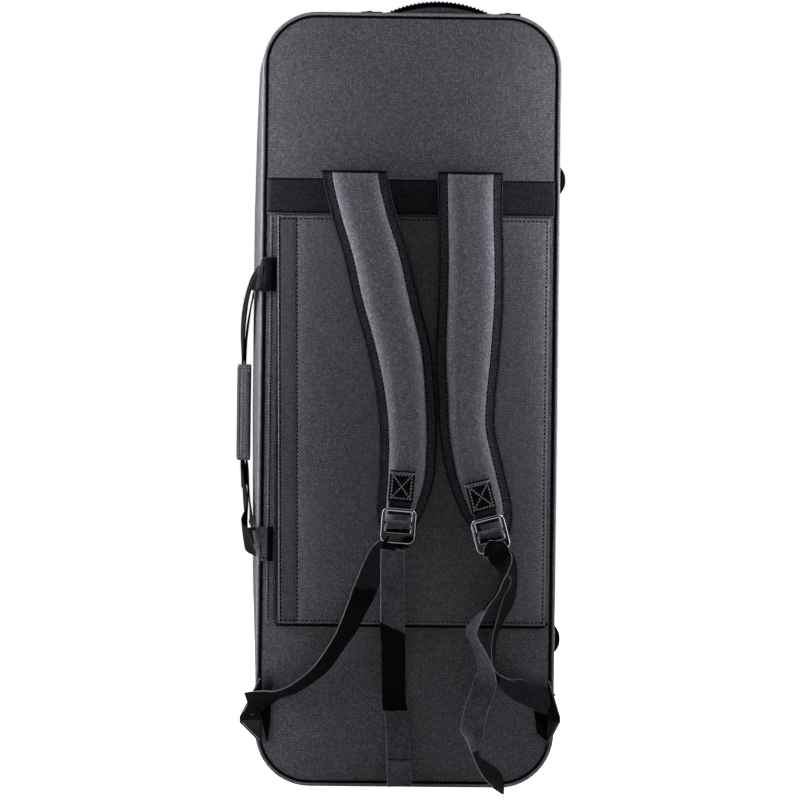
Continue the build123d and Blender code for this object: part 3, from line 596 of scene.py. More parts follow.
def make_materials():
    """All finishes of the case, each named for the real one; some are lighter or darker copies of one
    material that paint light and shade.
    """
    m, colours, thread = MATERIALS, bpy.context.scene.case_colours, in_mm("thread")
    # Ballistic nylon: heavy square threads, so the dark grey cloth shows slanting rows of light dots.
    # Real threads are about 0.9 mm; they are drawn at 1.75 mm, as coarse as they need to be to show.
    for key, name in (("ballistic", "ballistic_nylon"), ("gusset", "ballistic_nylon_wall")):
        m[key] = woven_cloth(name, colours.cloth_gap, colours.cloth_thread, thread, checker=0.36, slub=0.36)
    # The pocket is cut from the same nylon, lightly pressed, so its dots are a little flatter.
    m["pocket"] = woven_cloth("pressed_nylon", colours.pocket_gap, colours.pocket_thread, thread,
                              checker=0.38, slub=0.32)
    # The pads' inner panel has the cloth laid at a slant, so its rows run diagonally.
    m["pad"] = woven_cloth("slanted_nylon", colours.pad_gap, colours.pad_thread, thread, turn=-6, checker=0.3,
                           slub=0.4, slant=0.16, cloud=0.05)
    # Spacer mesh: open knit, darker because light falls into its holes.
    m["mesh"] = woven_cloth("spacer_mesh", "#1E1E22", "#5A5A62", 1.9, checker=0.3, slub=0.34, bump=0.5,
                            roughness=0.9)
    # The rolled edges are covered in the same nylon, drawn lighter: a painted highlight on the round cord.
    m["piping"] = woven_cloth("piping_cloth", "#44444A", "#8C8C94", 1.6, checker=0.3, slub=0.3)
    # Polyester webbing: near black, ribbed across, with a slight shine on the crests.
    m["webbing"] = ribbed_webbing("polyester_webbing", colours.webbing, colours.webbing_rib)
    # A near-black copy of the webbing: painted shade on straps where the light doesn't reach, and on the dark
    # sheets beside the corner cloths.
    m["webbing_dull"] = ribbed_webbing("polyester_webbing_smooth", "#010102", "#060608", bump=0.15)
    # The woven selvedge stands proud and worn; its much lighter colour is a painted highlight for the light
    # that it catches as a thin broken line.
    m["selvedge"] = ribbed_webbing("webbing_selvedge", "#2A2A2E", "#8E8E96", rib=3.0)
    # A lighter copy of the same webbing for the free tails and the side handle's lower patch: painted light
    # where they face it.
    m["tail"] = ribbed_webbing("polyester_webbing_worn", "#101014", "#56565E", rib=3.0, flecks=0.6)
    # A slightly lighter copy of the webbing: painted light on the pad tabs, the left load near its buckle,
    # the corner cloths' lower edges and the side handle's upper patch.
    m["handle_webbing"] = ribbed_webbing("handle_webbing", "#060608", "#2E2E33", rib=2.2, flecks=0.3)
    m["band"] = woven_cloth("flat_webbing", "#101015", "#34343C", 1.5, checker=0.2, slub=0.4)
    m["tape"] = ribbed_webbing("knitted_zip_tape", "#08080A", "#222227", rib=1.2)
    # Nylon coil: moulded monofilament, smooth and a little glossy.
    m["coil"] = grained("nylon_coil", "#0B0B0D", "#17171A", 1.5, 0.45, bump=0.01, level=0.08)
    # Black-nickel plated die casting: dark mirror with a soft break-up.
    m["nickel"] = grained("black_nickel_plate", colours.metal, "#8C8C93", 6.0, 0.12, metallic=1.0, bump=0.01,
                          spread=0.03)
    # Moulded rubber: matte, with a fine sparked grain.
    m["rubber"] = grained("moulded_rubber", colours.rubber, "#09090B", 0.9, 0.5, bump=0.05, level=0.0)
    m["steel"] = grained("black_oxide_steel", "#3B3B3E", "#4C4C50", 1.2, 0.4, metallic=1.0, bump=0.02)
    # Plush velour: short dense pile that lights up at grazing angles.
    m["plush"] = grained("plush_velour", colours.plush, "#1B1B1F", 1.6, 0.92, bump=0.5, sheen=0.8,
                         spread=0.05, level=0.15)
    m["foam"] = beaded_foam("expanded_foam")
    # Bonded thread: smooth twisted polyester.
    m["thread_dark"] = grained("bonded_thread_black", "#020203", "#070708", 0.8, 0.8, bump=0.02, level=0.0)
    # Near-black tape for the pads' top binding and flange edges; in the grooves inside the rolled edges and
    # under the pocket's lower edge it is painted shade.
    m["seam"] = grained("seam_tape", "#040405", "#0B0B0D", 1.5, 0.9, bump=0.1, level=0.05)
    m["thread_grey"] = grained("bonded_thread_grey", "#3E3E43", "#66666C", 0.8, 0.5, bump=0.02)
    m["hem"] = woven_cloth("turned_hem", "#26262A", "#5C5C61", 1.6, checker=0.34, slub=0.3)
    # A lighter copy of the nylon for the pocket's rolled rim: a painted highlight along its folded edges.
    m["fold"] = woven_cloth("folded_edge", "#36363B", "#74747C", 1.6, checker=0.3, slub=0.3)


def finish_node(name, key):
    """A CAD piece kept as it is, with its finish assigned."""
    for material_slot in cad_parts[name].material_slots:
        material_slot.material = MATERIALS[key]


def settle(obj, body, slot, *nodes):
    """Every piece: what it moves with, its slot (not used), and the plain solids that it stands for."""
    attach(obj, body)
    if nodes:
        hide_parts(*nodes)
    return obj


# Panels, side walls and rolled edges. Rows run from the middle out: the inset from the case's
# outline, and how far the cloth stands in front of the panel.
PANEL_RISE = 0.8
PANEL_ROWS = [(inset, PANEL_RISE) for inset in (163.4, 161, 158, 142, 122, 102, 84)]
PANEL_ROWS += [(68, 0.78), (54, 0.7), (42, 0.52), (32, 0.25), (24, -0.07), (18, -0.38), (13.5, -0.66),
               (10.5, -0.86), (8.6, -1.0), (7.2, -1.12), (6.2, -1.25), (5.5, -1.4), (5.1, -1.6)]
PANEL_THICK = 1.7


def panel(name, plane_y, way, material, crown):
    """A padded cloth panel whose edge turns in behind the rolled edge."""
    rings = []
    for inset, lift in PANEL_ROWS:
        ring = []
        for p in outline(inset, plane_y):
            rise = lift
            if inset > 9:
                rise += 0.15 * noise.noise(Vector((p.x, 3 * way, p.z)) / 45)
                rise += crown(p.x, p.z)
            ring.append(Vector((p.x, plane_y + way * rise, p.z)))
        rings.append(ring)
    for inset, _ in reversed(PANEL_ROWS):
        rings.append([Vector((p.x, plane_y - way * PANEL_THICK, p.z)) for p in outline(inset + 0.4, plane_y)])
    size = len(rings[0])
    points = [p for ring in rings for p in ring]
    faces = []
    for i in range(len(rings) - 1):
        for j in range(size):
            k = (j + 1) % size
            faces.append((i * size + j, i * size + k, (i + 1) * size + k, (i + 1) * size + j))
    for base in (0, (len(rings) - 1) * size):
        row = [base + j for j in range(size)]
        for j in range(size // 2):
            mates = (row[j], row[j + 1], row[(size - j - 1) % size], row[(size - j) % size])
            quad = tuple(dict.fromkeys(mates))
            if len(quad) > 2:
                faces.append(quad)
    uvs = [[(points[index].x, points[index].z) for index in face] for face in faces]
    return piece(name, (points, faces, uvs), material)


def wall_profile(y_panel, y_rim, way):
    """A side wall's section, from under the rolled edge to the zip; way leads from panel to zip."""
    rows = [(3.4, y_panel + way * 0.2), (1.4, y_panel + way * 0.3), (0.3, y_panel + way * 1.4),
            (0.0, y_panel + way * 4.5)]
    start, end = y_panel + way * 4.5, y_rim - way * 4.0
    cuts = 9
    rows += [(0.0, start + (end - start) * cut / cuts) for cut in range(1, cuts)]
    rows += [(0.0, end), (0.1, y_rim - way * 1.6), (0.5, y_rim - way * 0.4), (1.1, y_rim - way * 0.1),
             (1.5, y_rim - way * 1.2)]
    rows += [(1.5, end - (end - start) * cut / 3) for cut in range(0, 4)]
    return rows + [(3.4, y_panel + way * 1.8)]


def circle_profile(inset, y, radius, count=12):
    """A round cord's section, as insets and depths."""
    return [(inset + radius * cos(2 * pi * k / count), y + radius * sin(2 * pi * k / count))
            for k in range(count)]


def body_crown(x, z):
    """The back panel rises softly above the band and below the pocket, where nothing lies on it."""
    across = max(1 - (x / 150) ** 2, 0)
    return across * (1.3 * exp(-((z - 760) / 55) ** 2) + 0.9 * exp(-((z - 95) / 45) ** 2))


def lid_crown(x, z):
    """The lid's panel is one wide soft rise."""
    across = max(1 - (x / 155) ** 2, 0)
    return in_mm("lid_rise") * across * max(1 - ((z - HEIGHT / 2) / 415) ** 2, 0)


class CASE_OT_covers(bpy.types.Operator):
    """Back and lid panels, side walls, rolled edges and the hinge strip"""
    bl_idname = "case.covers"
    bl_label = "Covers"

    def execute(self, context):
        m = MATERIALS
        for half, body, y, way, crown in (("back", "case", BACK_Y, -1, body_crown),
                                          ("lid", "lid", FRONT_Y, 1, lid_crown)):
            cover = panel(f"{half}_cover", y, way, m["ballistic"], crown)
            settle(cover, body, "ballistic_nylon", f"{half}_panel")
        for half, body, y_panel, y_rim, way in (("body", "case", BACK_Y + 5, ZIP_Y - 6, 1),
                                                ("lid", "lid", FRONT_Y - 5, ZIP_Y + 6, -1)):
            section = wall_profile(y_panel, y_rim, way)
            wall = piece(f"{half}_wall", around(section, wobble=0.7), m["gusset"])
            settle(wall, body, "ballistic_nylon", f"{half}_gusset")
        for half, body, y, way in (("back", "case", BACK_Y, -1), ("lid", "lid", FRONT_Y, 1)):
            cord = around(circle_profile(1.75, y - way * 1.9, 1.8))
            edge = piece(f"{half}_rolled_edge", cord, m["piping"])
            settle(edge, body, "piping_cord", f"{half}_piping")
            # A near-black strip in the groove inside each rolled edge: painted shade, darker than the
            # groove's own shading
            seam = [(1.5, y - way * 1.3), (9.0, y - way * 1.3), (9.0, y - way * 1.6), (1.5, y - way * 1.6)]
            settle(piece(f"{half}_seam_tape", around(seam), m["seam"], smooth=False), body,
                   "piping_cord")
        # Rows of stitches: beside each rolled edge on the panels, and along the walls at the zip
        for body, y, way in (("case", BACK_Y, -1), ("lid", FRONT_Y, 1)):
            rim = outline(5.9, y - way * 1.15)
            sew(body, "dark", rim + rim[:1], Vector((0, way, 0)), pitch=2.9)
        for body, y in (("case", 9.5), ("lid", 30.5)):
            rim = outline(0.0, y)
            outs = outwards_along(rim, rim[-1:] + rim + rim[:1])
            sew(body, "dark", rim + rim[:1], outs + outs[:1])
        make_hinge_strip()
        for half in ("body", "lid"):
            for name, key in ((f"{half}_shell", "foam"), (f"feet_{half}", "rubber"),
                              (f"foot_screws_{half}", "steel")):
                finish_node(name, key)
        return {"FINISHED"}


def make_hinge_strip():
    """The cloth strip that the lid turns on, sewn to both walls along its edges."""
    rows = [(2.0, 164.3), (2.6, 165.2), (5.0, 165.5), (9.0, 165.4), (13.0, 165.8), (17.0, 166.3),
            (20.0, 166.5), (23.0, 166.3), (27.0, 165.8), (31.0, 165.4), (35.0, 165.5), (37.4, 165.2),
            (38.0, 164.3)]
    section = rows + [(y, 164.3) for y in (33.0, 27.0, 20.0, 13.0, 7.0)]
    rings = []
    low, high, cuts = CORNER, HEIGHT - CORNER, 72
    for cut in range(cuts + 1):
        z = low + (high - low) * cut / cuts
        rise = between(HINGE_RISE, z)
        rings.append([Vector((x + rise * swell_share(y), y, z)) for y, x in section])
    strip = piece("hinge_cloth", skin(rings), MATERIALS["gusset"])
    strip = settle(strip, "case", "ballistic_nylon", "hinge_strip")
    strip.parent = None
    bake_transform(strip)
    for body, y in (("case", 5.0), ("lid", 35.0)):
        path = [Vector((165.5 + between(HINGE_RISE, z) * swell_share(y), y, z)) for z in range(66, 786, 8)]
        sew(body, "dark", path, Vector((1, 0, 0)))


# Zip: the stretch of x that it takes up, all round but for the hinge side
ZIP_SPAN = (-400, 121.4)


class CASE_OT_zip(bpy.types.Operator):
    """Zip tapes, coils, end tabs, sliders and pulls"""
    bl_idname = "case.zip"
    bl_label = "Zip"

    def execute(self, context):
        m = MATERIALS
        for half, body, y_cloth, y_coil in (("body", "case", 7.3, 16.45), ("lid", "lid", 32.7, 23.55)):
            profile = [(1.7, y_cloth), (1.7, y_coil), (2.5, y_coil), (2.5, y_cloth)]
            tape = piece(f"{half}_zip_tape", around(profile, span=ZIP_SPAN), m["tape"], smooth=False)
            settle(tape, body, "zip_tape", f"zip_tape_{half}")
            way = 1 if half == "body" else -1
            path = clipped(outline(2.1, y_coil + way * 2.0), *ZIP_SPAN)[0]
            coil = row_of(f"{half}_zip_coil", path, tooth_mesh(), in_mm("tooth"), m["coil"],
                          start=0.0 if half == "body" else 1.05)
            settle(coil, body, "zip_coil", f"zip_coil_{half}")
        section = [(1.2, 14.4), (1.2, 19.0), (2.6, 19.0), (2.6, 14.4)]
        tabs = piece("zip_end_cloth", around(section, span=(121.7, 143.4)), m["webbing"])
        settle(tabs, "case", "ballistic_nylon", "zip_end_tabs")
        for side in ("left", "right"):
            finish_node(f"zip_slider_{side}", "nickel")
            finish_node(f"zip_pull_{side}", "nickel")
        return {"FINISHED"}


def bead(name, drawn_out):
    """A small ball of radius a half, whose points a function draws out, in millimetres."""
    mesh = bpy.data.meshes.new(name)
    bm = bmesh.new()
    bmesh.ops.create_uvsphere(bm, u_segments=6, v_segments=5, radius=0.5)
    for v in bm.verts:
        v.co = drawn_out(v.co) * MM
    bm.to_mesh(mesh)
    bm.free()
    return mesh


def tooth_mesh():
    """One loop of the coil: a short bar across the zip with a rounded head."""
    return bead("zip_loop", lambda p: Vector((p.x * 1.3, p.z * 4.3, p.y * 1.9)))


def stitch_mesh():
    """One stitch: a short thread that dips into the cloth at both ends."""
    long, wide = in_mm("stitch_length"), in_mm("stitch_width")
    return bead("stitch", lambda p: Vector((p.z * long, p.x * wide, p.y * wide / 1.8)))


def row_tree(part):
    """A node tree that sets copies of a small mesh along lines, turned by the lines' faces."""
    tree = bpy.data.node_groups.new("row_of_" + part.name, "GeometryNodeTree")
    for name, way, kind in (("Lines", "INPUT", "Geometry"), ("Pitch", "INPUT", "Float"),
                            ("Part", "INPUT", "Object"), ("Finish", "INPUT", "Material"),
                            ("Row", "OUTPUT", "Geometry")):
        tree.interface.new_socket(name, in_out=way, socket_type="NodeSocket" + kind)
    given = add_node(tree, "NodeGroupInput")
    curve = add_node(tree, "GeometryNodeMeshToCurve", None, {"Mesh": given.outputs["Lines"]})
    spots = add_node(tree, "GeometryNodeResampleCurve", {"mode": "LENGTH"}, {
        "Curve": curve.outputs["Curve"], "Length": given.outputs["Pitch"]})
    tangent = add_node(tree, "GeometryNodeInputTangent")
    face = add_node(tree, "GeometryNodeInputNamedAttribute", {"data_type": "FLOAT_VECTOR"}, {"Name": "face"})
    turn = add_node(tree, "FunctionNodeAxesToRotation", {"primary_axis": "X", "secondary_axis": "Z"}, {
        "Primary Axis": tangent.outputs["Tangent"], "Secondary Axis": face.outputs["Attribute"]})
    shape = add_node(tree, "GeometryNodeObjectInfo", None, {"Object": given.outputs["Part"]})
    copies = add_node(tree, "GeometryNodeInstanceOnPoints", None, {
        "Points": spots.outputs["Curve"], "Instance": shape.outputs["Geometry"],
        "Rotation": turn.outputs["Rotation"]})
    real = add_node(tree, "GeometryNodeRealizeInstances", None, {"Geometry": copies.outputs["Instances"]})
    finish = add_node(tree, "GeometryNodeSetMaterial", None, {
        "Geometry": real.outputs["Geometry"], "Material": given.outputs["Finish"]})
    add_node(tree, "NodeGroupOutput", None, {"Row": finish.outputs["Geometry"]})
    return tree


def row_of_lines(name, lines, part_mesh, pitch, material):
    """Copies of a small mesh along lines of points and faces, as one plain mesh."""
    points, faces, edges = [], [], []
    for line_points, line_faces in lines:
        start = len(points)
        points += [Vector(p) * MM for p in line_points]
        faces += [tuple(f) for f in line_faces]
        edges += [(start + i, start + i + 1) for i in range(len(line_points) - 1)]
    mesh = bpy.data.meshes.new(name + "_lines")
    mesh.from_pydata(points, edges, [])
    attribute = mesh.attributes.new("face", "FLOAT_VECTOR", "POINT")
    attribute.data.foreach_set("vector", [c for f in faces for c in f])
    lines_object = linked(name + "_lines", mesh)
    part = linked(part_mesh.name, part_mesh)
    tree = row_tree(part)
    modifier = lines_object.modifiers.new("row", "NODES")
    modifier.node_group = tree
    values = {"Pitch": pitch * MM, "Part": part, "Finish": material}
    for item in tree.interface.items_tree:
        if item.item_type == "SOCKET" and item.in_out == "INPUT" and item.name in values:
            modifier[item.identifier] = values[item.name]
    row = dressed(name, plain_mesh(lines_object), material)
    bpy.data.objects.remove(part)
    bpy.data.node_groups.remove(tree)
    return row


def row_of(name, path, part_mesh, pitch, material, start=0.0):
    """A row round the case: the path's own outward direction is the face of each copy."""
    outs = outwards_along(path, path[:1] + path + path[-1:])
    if start:
        path = [path[0] + (path[1] - path[0]).normalized() * start] + path[1:]
    return row_of_lines(name, [(path, outs)], part_mesh, pitch, material)


# Band, pocket and its hem
BAND_Z = 648
BAND_WIDTH = 40.0
POCKET = {"left": -143.0, "right": 153.0, "low": 178.5, "high": 625.5}
POCKET_RISE = 6.2
HEM_SEAMS = (-140.9, -121.8)


def pocket_lift(x, z):
    """How far the pocket's cloth stands off the panel: sewn down on three sides, open at the left."""
    right, low, high = POCKET["right"] - x, z - POCKET["low"], POCKET["high"] - z
    lift = 2.3
    lift += (POCKET_RISE - 2.3) * (1 - exp(-max(right, 0) / 9)) * (1 - exp(-max(low, 0) / 10)) * (
        1 - exp(-max(high, 0) / 10))
    left = x - POCKET["left"]
    lift -= 2.6 * exp(-(left / 30) ** 2) * (1 - exp(-max(low, 0) / 10)) * (1 - exp(-max(high, 0) / 10))
    lift += 0.35 * noise.noise(Vector((x / 60, 5, z / 90)))
    return lift


class CASE_OT_back_trim(bpy.types.Operator):
    """The band across the back, the flat pocket with its hem, and the strip under its opening"""
    bl_idname = "case.back_trim"
    bl_label = "Band and pocket"

    def execute(self, context):
        m = MATERIALS
        stations = [(Vector((x, -108.25 + (0.4 if abs(x) > 156 else 0), BAND_Z)), BACK)
                    for x in range(-158, 159, 12)] + [(Vector((158, -107.9, BAND_Z)), BACK)]
        band = strap("back_band", stations, BAND_WIDTH, 1.5, m["band"], step=8, edge=m["selvedge"])
        settle(band, "case", "black_webbing", "strap_band")
        for z in (BAND_Z - 17.8, BAND_Z + 17.8):
            sew("case", "dark", [Vector((x, -109.1, z)) for x in range(-156, 157, 4)], BACK, pitch=4.2)
        make_pocket(m)
        make_pocket_hem(m)
        sew_pocket(m)
        return {"FINISHED"}


def grid_sheet(xs, zs, front, thick):
    """A thick sheet over a grid: front gives the outer face's place at x and z."""
    count_x, count_z = len(xs), len(zs)
    points = [front(x, z) for z in zs for x in xs]
    points += [p + Vector((0, thick, 0)) for p in points]
    shift = count_x * count_z
    faces = []
    for j in range(count_z - 1):
        for i in range(count_x - 1):
            a = j * count_x + i
            quad = (a, a + 1, a + count_x + 1, a + count_x)
            faces.append(quad)
            faces.append(tuple(shift + k for k in reversed(quad)))
    rim = [i for i in range(count_x)] + [j * count_x + count_x - 1 for j in range(1, count_z)]
    rim += [(count_z - 1) * count_x + i for i in range(count_x - 2, -1, -1)]
    rim += [j * count_x for j in range(count_z - 2, 0, -1)]
    for a, b in zip(rim, rim[1:] + rim[:1]):
        faces.append((a, shift + a, shift + b, b))
    uvs = [[(points[k].x, points[k].z) for k in face] for face in faces]
    return points, faces, uvs


def spread(low, high, edge_steps, count):
    """Places from low to high, close together near both ends."""
    inner = [low + s for s in edge_steps]
    outer = [high - s for s in reversed(edge_steps)]
    start, end = inner[-1], outer[0]
    middle = [start + (end - start) * k / count for k in range(1, count)]
    return inner + middle + outer


def pocket_skew(x, z):
    """The pocket is sewn on a little out of true: its open edge leans by the width of a seam."""
    lean = 3.4 - 6.4 * (z - POCKET["low"]) / (POCKET["high"] - POCKET["low"])
    return x + lean * (1 - (x - POCKET["left"]) / (POCKET["right"] - POCKET["left"]))


def pocket_front(x, z):
    """A place on the pocket's outer face: a rolled rim, a ditch inside it, and the hem's seams."""
    lift = pocket_lift(x, z)
    right, low, high, left = POCKET["right"] - x, z - POCKET["low"], POCKET["high"] - z, x - POCKET["left"]
    lift -= 0.9 * max(0.0, 1 - min(right, low, high, left) / 0.9) ** 2
    for away in (low, high, left):
        lift += 0.6 * exp(-((away - 1.3) / 0.8) ** 2)
    for away in (low, high, right):
        lift -= 0.5 * exp(-((away - 3.2) / 1.0) ** 2)
    for seam in HEM_SEAMS:
        lift -= 0.45 * exp(-((x - seam) / 0.8) ** 2)
    return Vector((pocket_skew(x, z), BACK_Y - 0.1 - lift, z))


def make_pocket(m):
    """The pocket's cloth; its hem takes a finish of its own, and its rim a lighter one, a painted highlight
    along the folded edges.
    """
    hem, edge = HEM_SEAMS, (0.0, 0.35, 1.0, 1.9, 3.2, 4.2, 6.0, 9.0, 14.0)
    xs = spread(POCKET["left"], POCKET["right"], edge, 30)
    xs = sorted([x for x in xs if min(abs(x - hem[0]), abs(x - hem[1])) > 1.5]
                + [hem[0] - 0.4, hem[0], hem[0] + 0.4, hem[1] - 0.6, hem[1], hem[1] + 0.6])
    zs = spread(POCKET["low"], POCKET["high"], edge, 48)
    cloth = piece("pocket_cloth", grid_sheet(xs, zs, pocket_front, 1.1), m["pocket"])
    cloth.data.materials.append(m["hem"])
    cloth.data.materials.append(m["fold"])
    columns, rows = len(xs) - 1, len(zs) - 1
    for face in cloth.data.polygons:
        number = face.index // 2
        if number >= columns * rows:
            face.material_index = 2
            continue
        x = (xs[number % columns] + xs[number % columns + 1]) / 2
        z = (zs[number // columns] + zs[number // columns + 1]) / 2
        rim = min(z - POCKET["low"], POCKET["high"] - z, x - POCKET["left"])
        # Rim faces take the lighter cloth, a painted highlight; the hem's own finish lies between its seams
        face.material_index = 2 if rim < 1.9 else 1 if hem[0] < x < hem[1] else 0
    settle(cloth, "case", "pocket_nylon", "pocket_panel")


def make_pocket_hem(m):
    """The turned hem on the cloth's inner face, and the strip of cloth under the opening."""
    def hem_front(x, z):
        return Vector((pocket_skew(x, z), BACK_Y - 0.1 - pocket_lift(x, z) + 1.15, z))

    def strip_front(x, z):
        lift = 0.85 if -153.5 <= x <= -143.6 else 0.3
        return Vector((x, BACK_Y - lift - 0.1 * noise.noise(Vector((x, 0, z)) / 20), z))

    xs = [-142.4 + 22.4 * k / 8 for k in range(9)]
    zs = [181.0 + (623.0 - 181.0) * k / 50 for k in range(51)]
    hem = piece("pocket_hem_cloth", grid_sheet(xs, zs, hem_front, 0.6), m["hem"])
    settle(hem, "case", "pocket_nylon", "pocket_hem")
    xs = [-154.0, -153.4, -150, -147, -143.9, -143.3]
    zs = [178.5 + 447 * k / 40 for k in range(41)]
    under = piece("opening_strip", grid_sheet(xs, zs, strip_front, 0.25), m["ballistic"])
    settle(under, "case", "pocket_nylon", "pocket_underlay")


def sew_pocket(m):
    """A near-black strip on the panel under the pocket's lower edge, a painted shadow of that edge, and the
    pocket's rows of stitches.
    """
    def on_pocket(x, z):
        return pocket_front(x, z) + Vector((0, -0.15, 0))

    # Painted shadow: a near-black strip on the panel under the pocket's lower edge
    run = [(x, 176.9) for x in range(-142, 150, 10)] + [(151, 177.8), (156, 181.0)]
    tape = strap("pocket_seam_tape", [(Vector((x, BACK_Y - 0.75, z)), BACK) for x, z in run],
                 3.6, 0.7, m["seam"], step=5)
    settle(tape, "case", "black_webbing")
    for x in (*HEM_SEAMS, 149.8):
        sew("case", "dark", [on_pocket(x, z) for z in range(182, 623, 3)], BACK, pitch=4.6)
    for z in (181.7, 622.3):
        sew("case", "dark", [on_pocket(x, z) for x in range(-140, 151, 3)], BACK, pitch=4.6)
    sew("case", "dark", [Vector((-151.5, BACK_Y - 0.95, z)) for z in range(182, 623, 4)], BACK)


# Shoulder pads. Rows: way down the pad, middle, width and crown, as in the frame's table.
PAD_TOP = 674.9
PAD_LENGTH = 401.2
PAD_WIDTH = 72.0
PAD_FLANGE = 11.0
PAD_FRONT_Y = -117.7
PAD_ROWS = {
    "left": ((0.000, -0.378, 1.00, 0.55), (0.114, -0.317, 1.00, 1.00), (0.233, -0.226, 1.01, 1.00),
             (0.350, -0.159, 1.01, 1.00), (0.485, -0.070, 0.99, 1.00), (0.623, -0.018, 0.91, 1.00),
             (0.733, 0.000, 0.88, 0.95), (0.843, -0.010, 0.85, 0.85), (0.924, -0.045, 0.74, 0.50),
             (1.000, -0.070, 0.50, 0.15)),
    "right": ((0.000, 0.396, 1.00, 0.55), (0.114, 0.400, 0.99, 1.00), (0.233, 0.409, 1.00, 1.00),
              (0.350, 0.409, 1.01, 1.00), (0.513, 0.393, 0.98, 1.00), (0.623, 0.390, 0.89, 1.00),
              (0.705, 0.396, 0.87, 0.95), (0.835, 0.463, 0.90, 0.85), (0.930, 0.533, 0.80, 0.50),
              (1.000, 0.575, 0.52, 0.15)),
}


def pad_line(side, step=4.0):
    """Middle, width and crown down a pad, eased between the table's rows."""
    rows = PAD_ROWS[side]
    stations = [(Vector((r[0] * PAD_LENGTH, r[1] * HALF_WIDTH, r[2] * PAD_WIDTH)), Vector((r[3], 0, 0)))
                for r in rows]
    out = []
    last = len(stations) - 1
    for i in range(last):
        four = four_round(stations, i)
        cuts = max(2, ceil((four[2][0].x - four[1][0].x) / step))
        for cut in range(cuts + (1 if i == last - 1 else 0)):
            t = cut / cuts
            place, crown = curved(four, t)
            down = four[1][0].x + (four[2][0].x - four[1][0].x) * t
            out.append((PAD_TOP - down, place.y, place.z, crown.x))
    return out


def make_pad(side, body, m):
    """A pad's backing with its sewn flange, the cushion on it and the rows of stitches round it."""
    line = pad_line(side)
    flange, cushion = [], []
    profile = [sin(radians(-90 + 180 * k / 24)) for k in range(25)]
    for z, middle, width, crown in line:
        half = width / 2
        rows = [(-half, -116.7), (-half + 0.5, -117.45), (-half + 2.0, -117.75), (-half + 4.5, -117.6),
                (-half * 0.5, -117.5), (0, -117.5), (half * 0.5, -117.5), (half - 4.5, -117.6),
                (half - 2.0, -117.75), (half - 0.5, -117.45), (half, -116.7), (half, -115.7),
                (half - 0.5, -115.0), (half - 2.5, -114.85), (0, -114.85), (-half + 2.5, -114.85),
                (-half + 0.5, -115.0), (-half, -115.7)]
        flange.append([Vector((middle + x, y, z)) for x, y in rows])
        inner = half - PAD_FLANGE
        from_top, from_low = PAD_TOP - z, z - (PAD_TOP - PAD_LENGTH)
        rise = 2.6 + in_mm("pad_rise") * crown
        rise *= sqrt(max(1 - max(0, 1 - from_top / 7) ** 2, 0.02))
        rise *= sqrt(max(1 - max(0, 1 - from_low / 9) ** 2, 0.02))
        ring = []
        for s in profile:
            lift = rise * (max(1 - abs(s) ** 3.4, 0) ** 0.6)
            x = inner * s
            crease = 0.3 * noise.noise(Vector((middle + x, 9, z)) / 42) * (1 - s * s)
            pucker = 0.25 * sin(2 * pi * z / 6.8) * exp(-((1 - abs(s)) / 0.12) ** 2)
            ring.append(Vector((middle + x, PAD_FRONT_Y - 0.05 - max(lift + crease + pucker, 0), z)))
        ring += [Vector((middle + inner * s, PAD_FRONT_Y, z)) for s in (0.6, 0.2, -0.2, -0.6)]
        cushion.append(ring)
    backing = piece(f"pad_flange_{side}", joined([skin(flange), pad_root(side)]), m["mesh"])
    backing.data.materials.append(m["seam"])
    around_rim = len(flange[0])
    for face in backing.data.polygons:
        if face.index < around_rim * (len(flange) - 1):
            face.material_index = 0 if face.index % around_rim in range(1, 9) else 1
    settle(backing, body, "pad_mesh", f"pad_backing_{side}")
    pad = piece(f"shoulder_pad_{side}", skin(cushion), m["pad"])
    settle(pad, body, "pad_mesh", f"pad_{side}")
    for way in (-1, 1):
        seam = [Vector((mid + way * (w / 2 - PAD_FLANGE + 0.9), -117.7, z)) for z, mid, w, _ in line[1:-2]]
        sew(body, "dark", seam, BACK, pitch=5.0)
        edge = [Vector((mid + way * (w / 2 - 1.6), -117.85, z)) for z, mid, w, _ in line[1:-2]]
        sew(body, "dark", edge, BACK, pitch=3.1)
    make_binding(side, body, m, line[0])


def make_binding(side, body, m, top):
    """The folded tape over a pad's top edge, which stands off most where the cushion is; its near-black
    colour also paints the shade along the pad's top edge.
    """
    z, mid, w, _ = top
    rise = 4.6
    rows = []
    for k in range(25):
        s = -1 + 2 * k / 24
        inner = max(1 - abs(s * (w / 2) / (w / 2 - PAD_FLANGE)) ** 3.4, 0) ** 0.6
        lift = -118.0 - rise * inner
        x = mid + s * (w / 2)
        rows.append([Vector((x, y, height)) for y, height in (
            (lift + 0.7, z - 1.7), (lift, z - 1.6), (lift - 0.5, z - 0.9), (lift + 0.1, z + 0.3),
            (lift + 1.2, z + 0.8), (-115.2, z + 0.8), (-115.2, z + 0.1), (lift + 1.4, z - 0.2))])
    binding = piece(f"pad_top_binding_{side}", skin(rows), m["seam"])
    settle(binding, body, "black_webbing")


def pad_root(side):
    """The folded end of the pad's backing, sewn to the panel under the band's upper edge."""
    middle = PAD_ROWS[side][0][1] * HALF_WIDTH
    half = PAD_WIDTH / 2 - 3.0
    rings = []
    for y, grow in ((-109.35, 0.0), (-109.6, 0.6), (-112, 0.9), (-115.2, 1.0)):
        low, high = 656.0 - grow, 674.0 + 0.5 * grow
        rings.append([Vector((middle + x, y, z)) for x, z in (
            (-half, low + 2), (-half + 2, low), (half - 2, low), (half, low + 2), (half, high - 2),
            (half - 2, high), (-half + 2, high), (-half, high - 2))])
    return skin(rings)


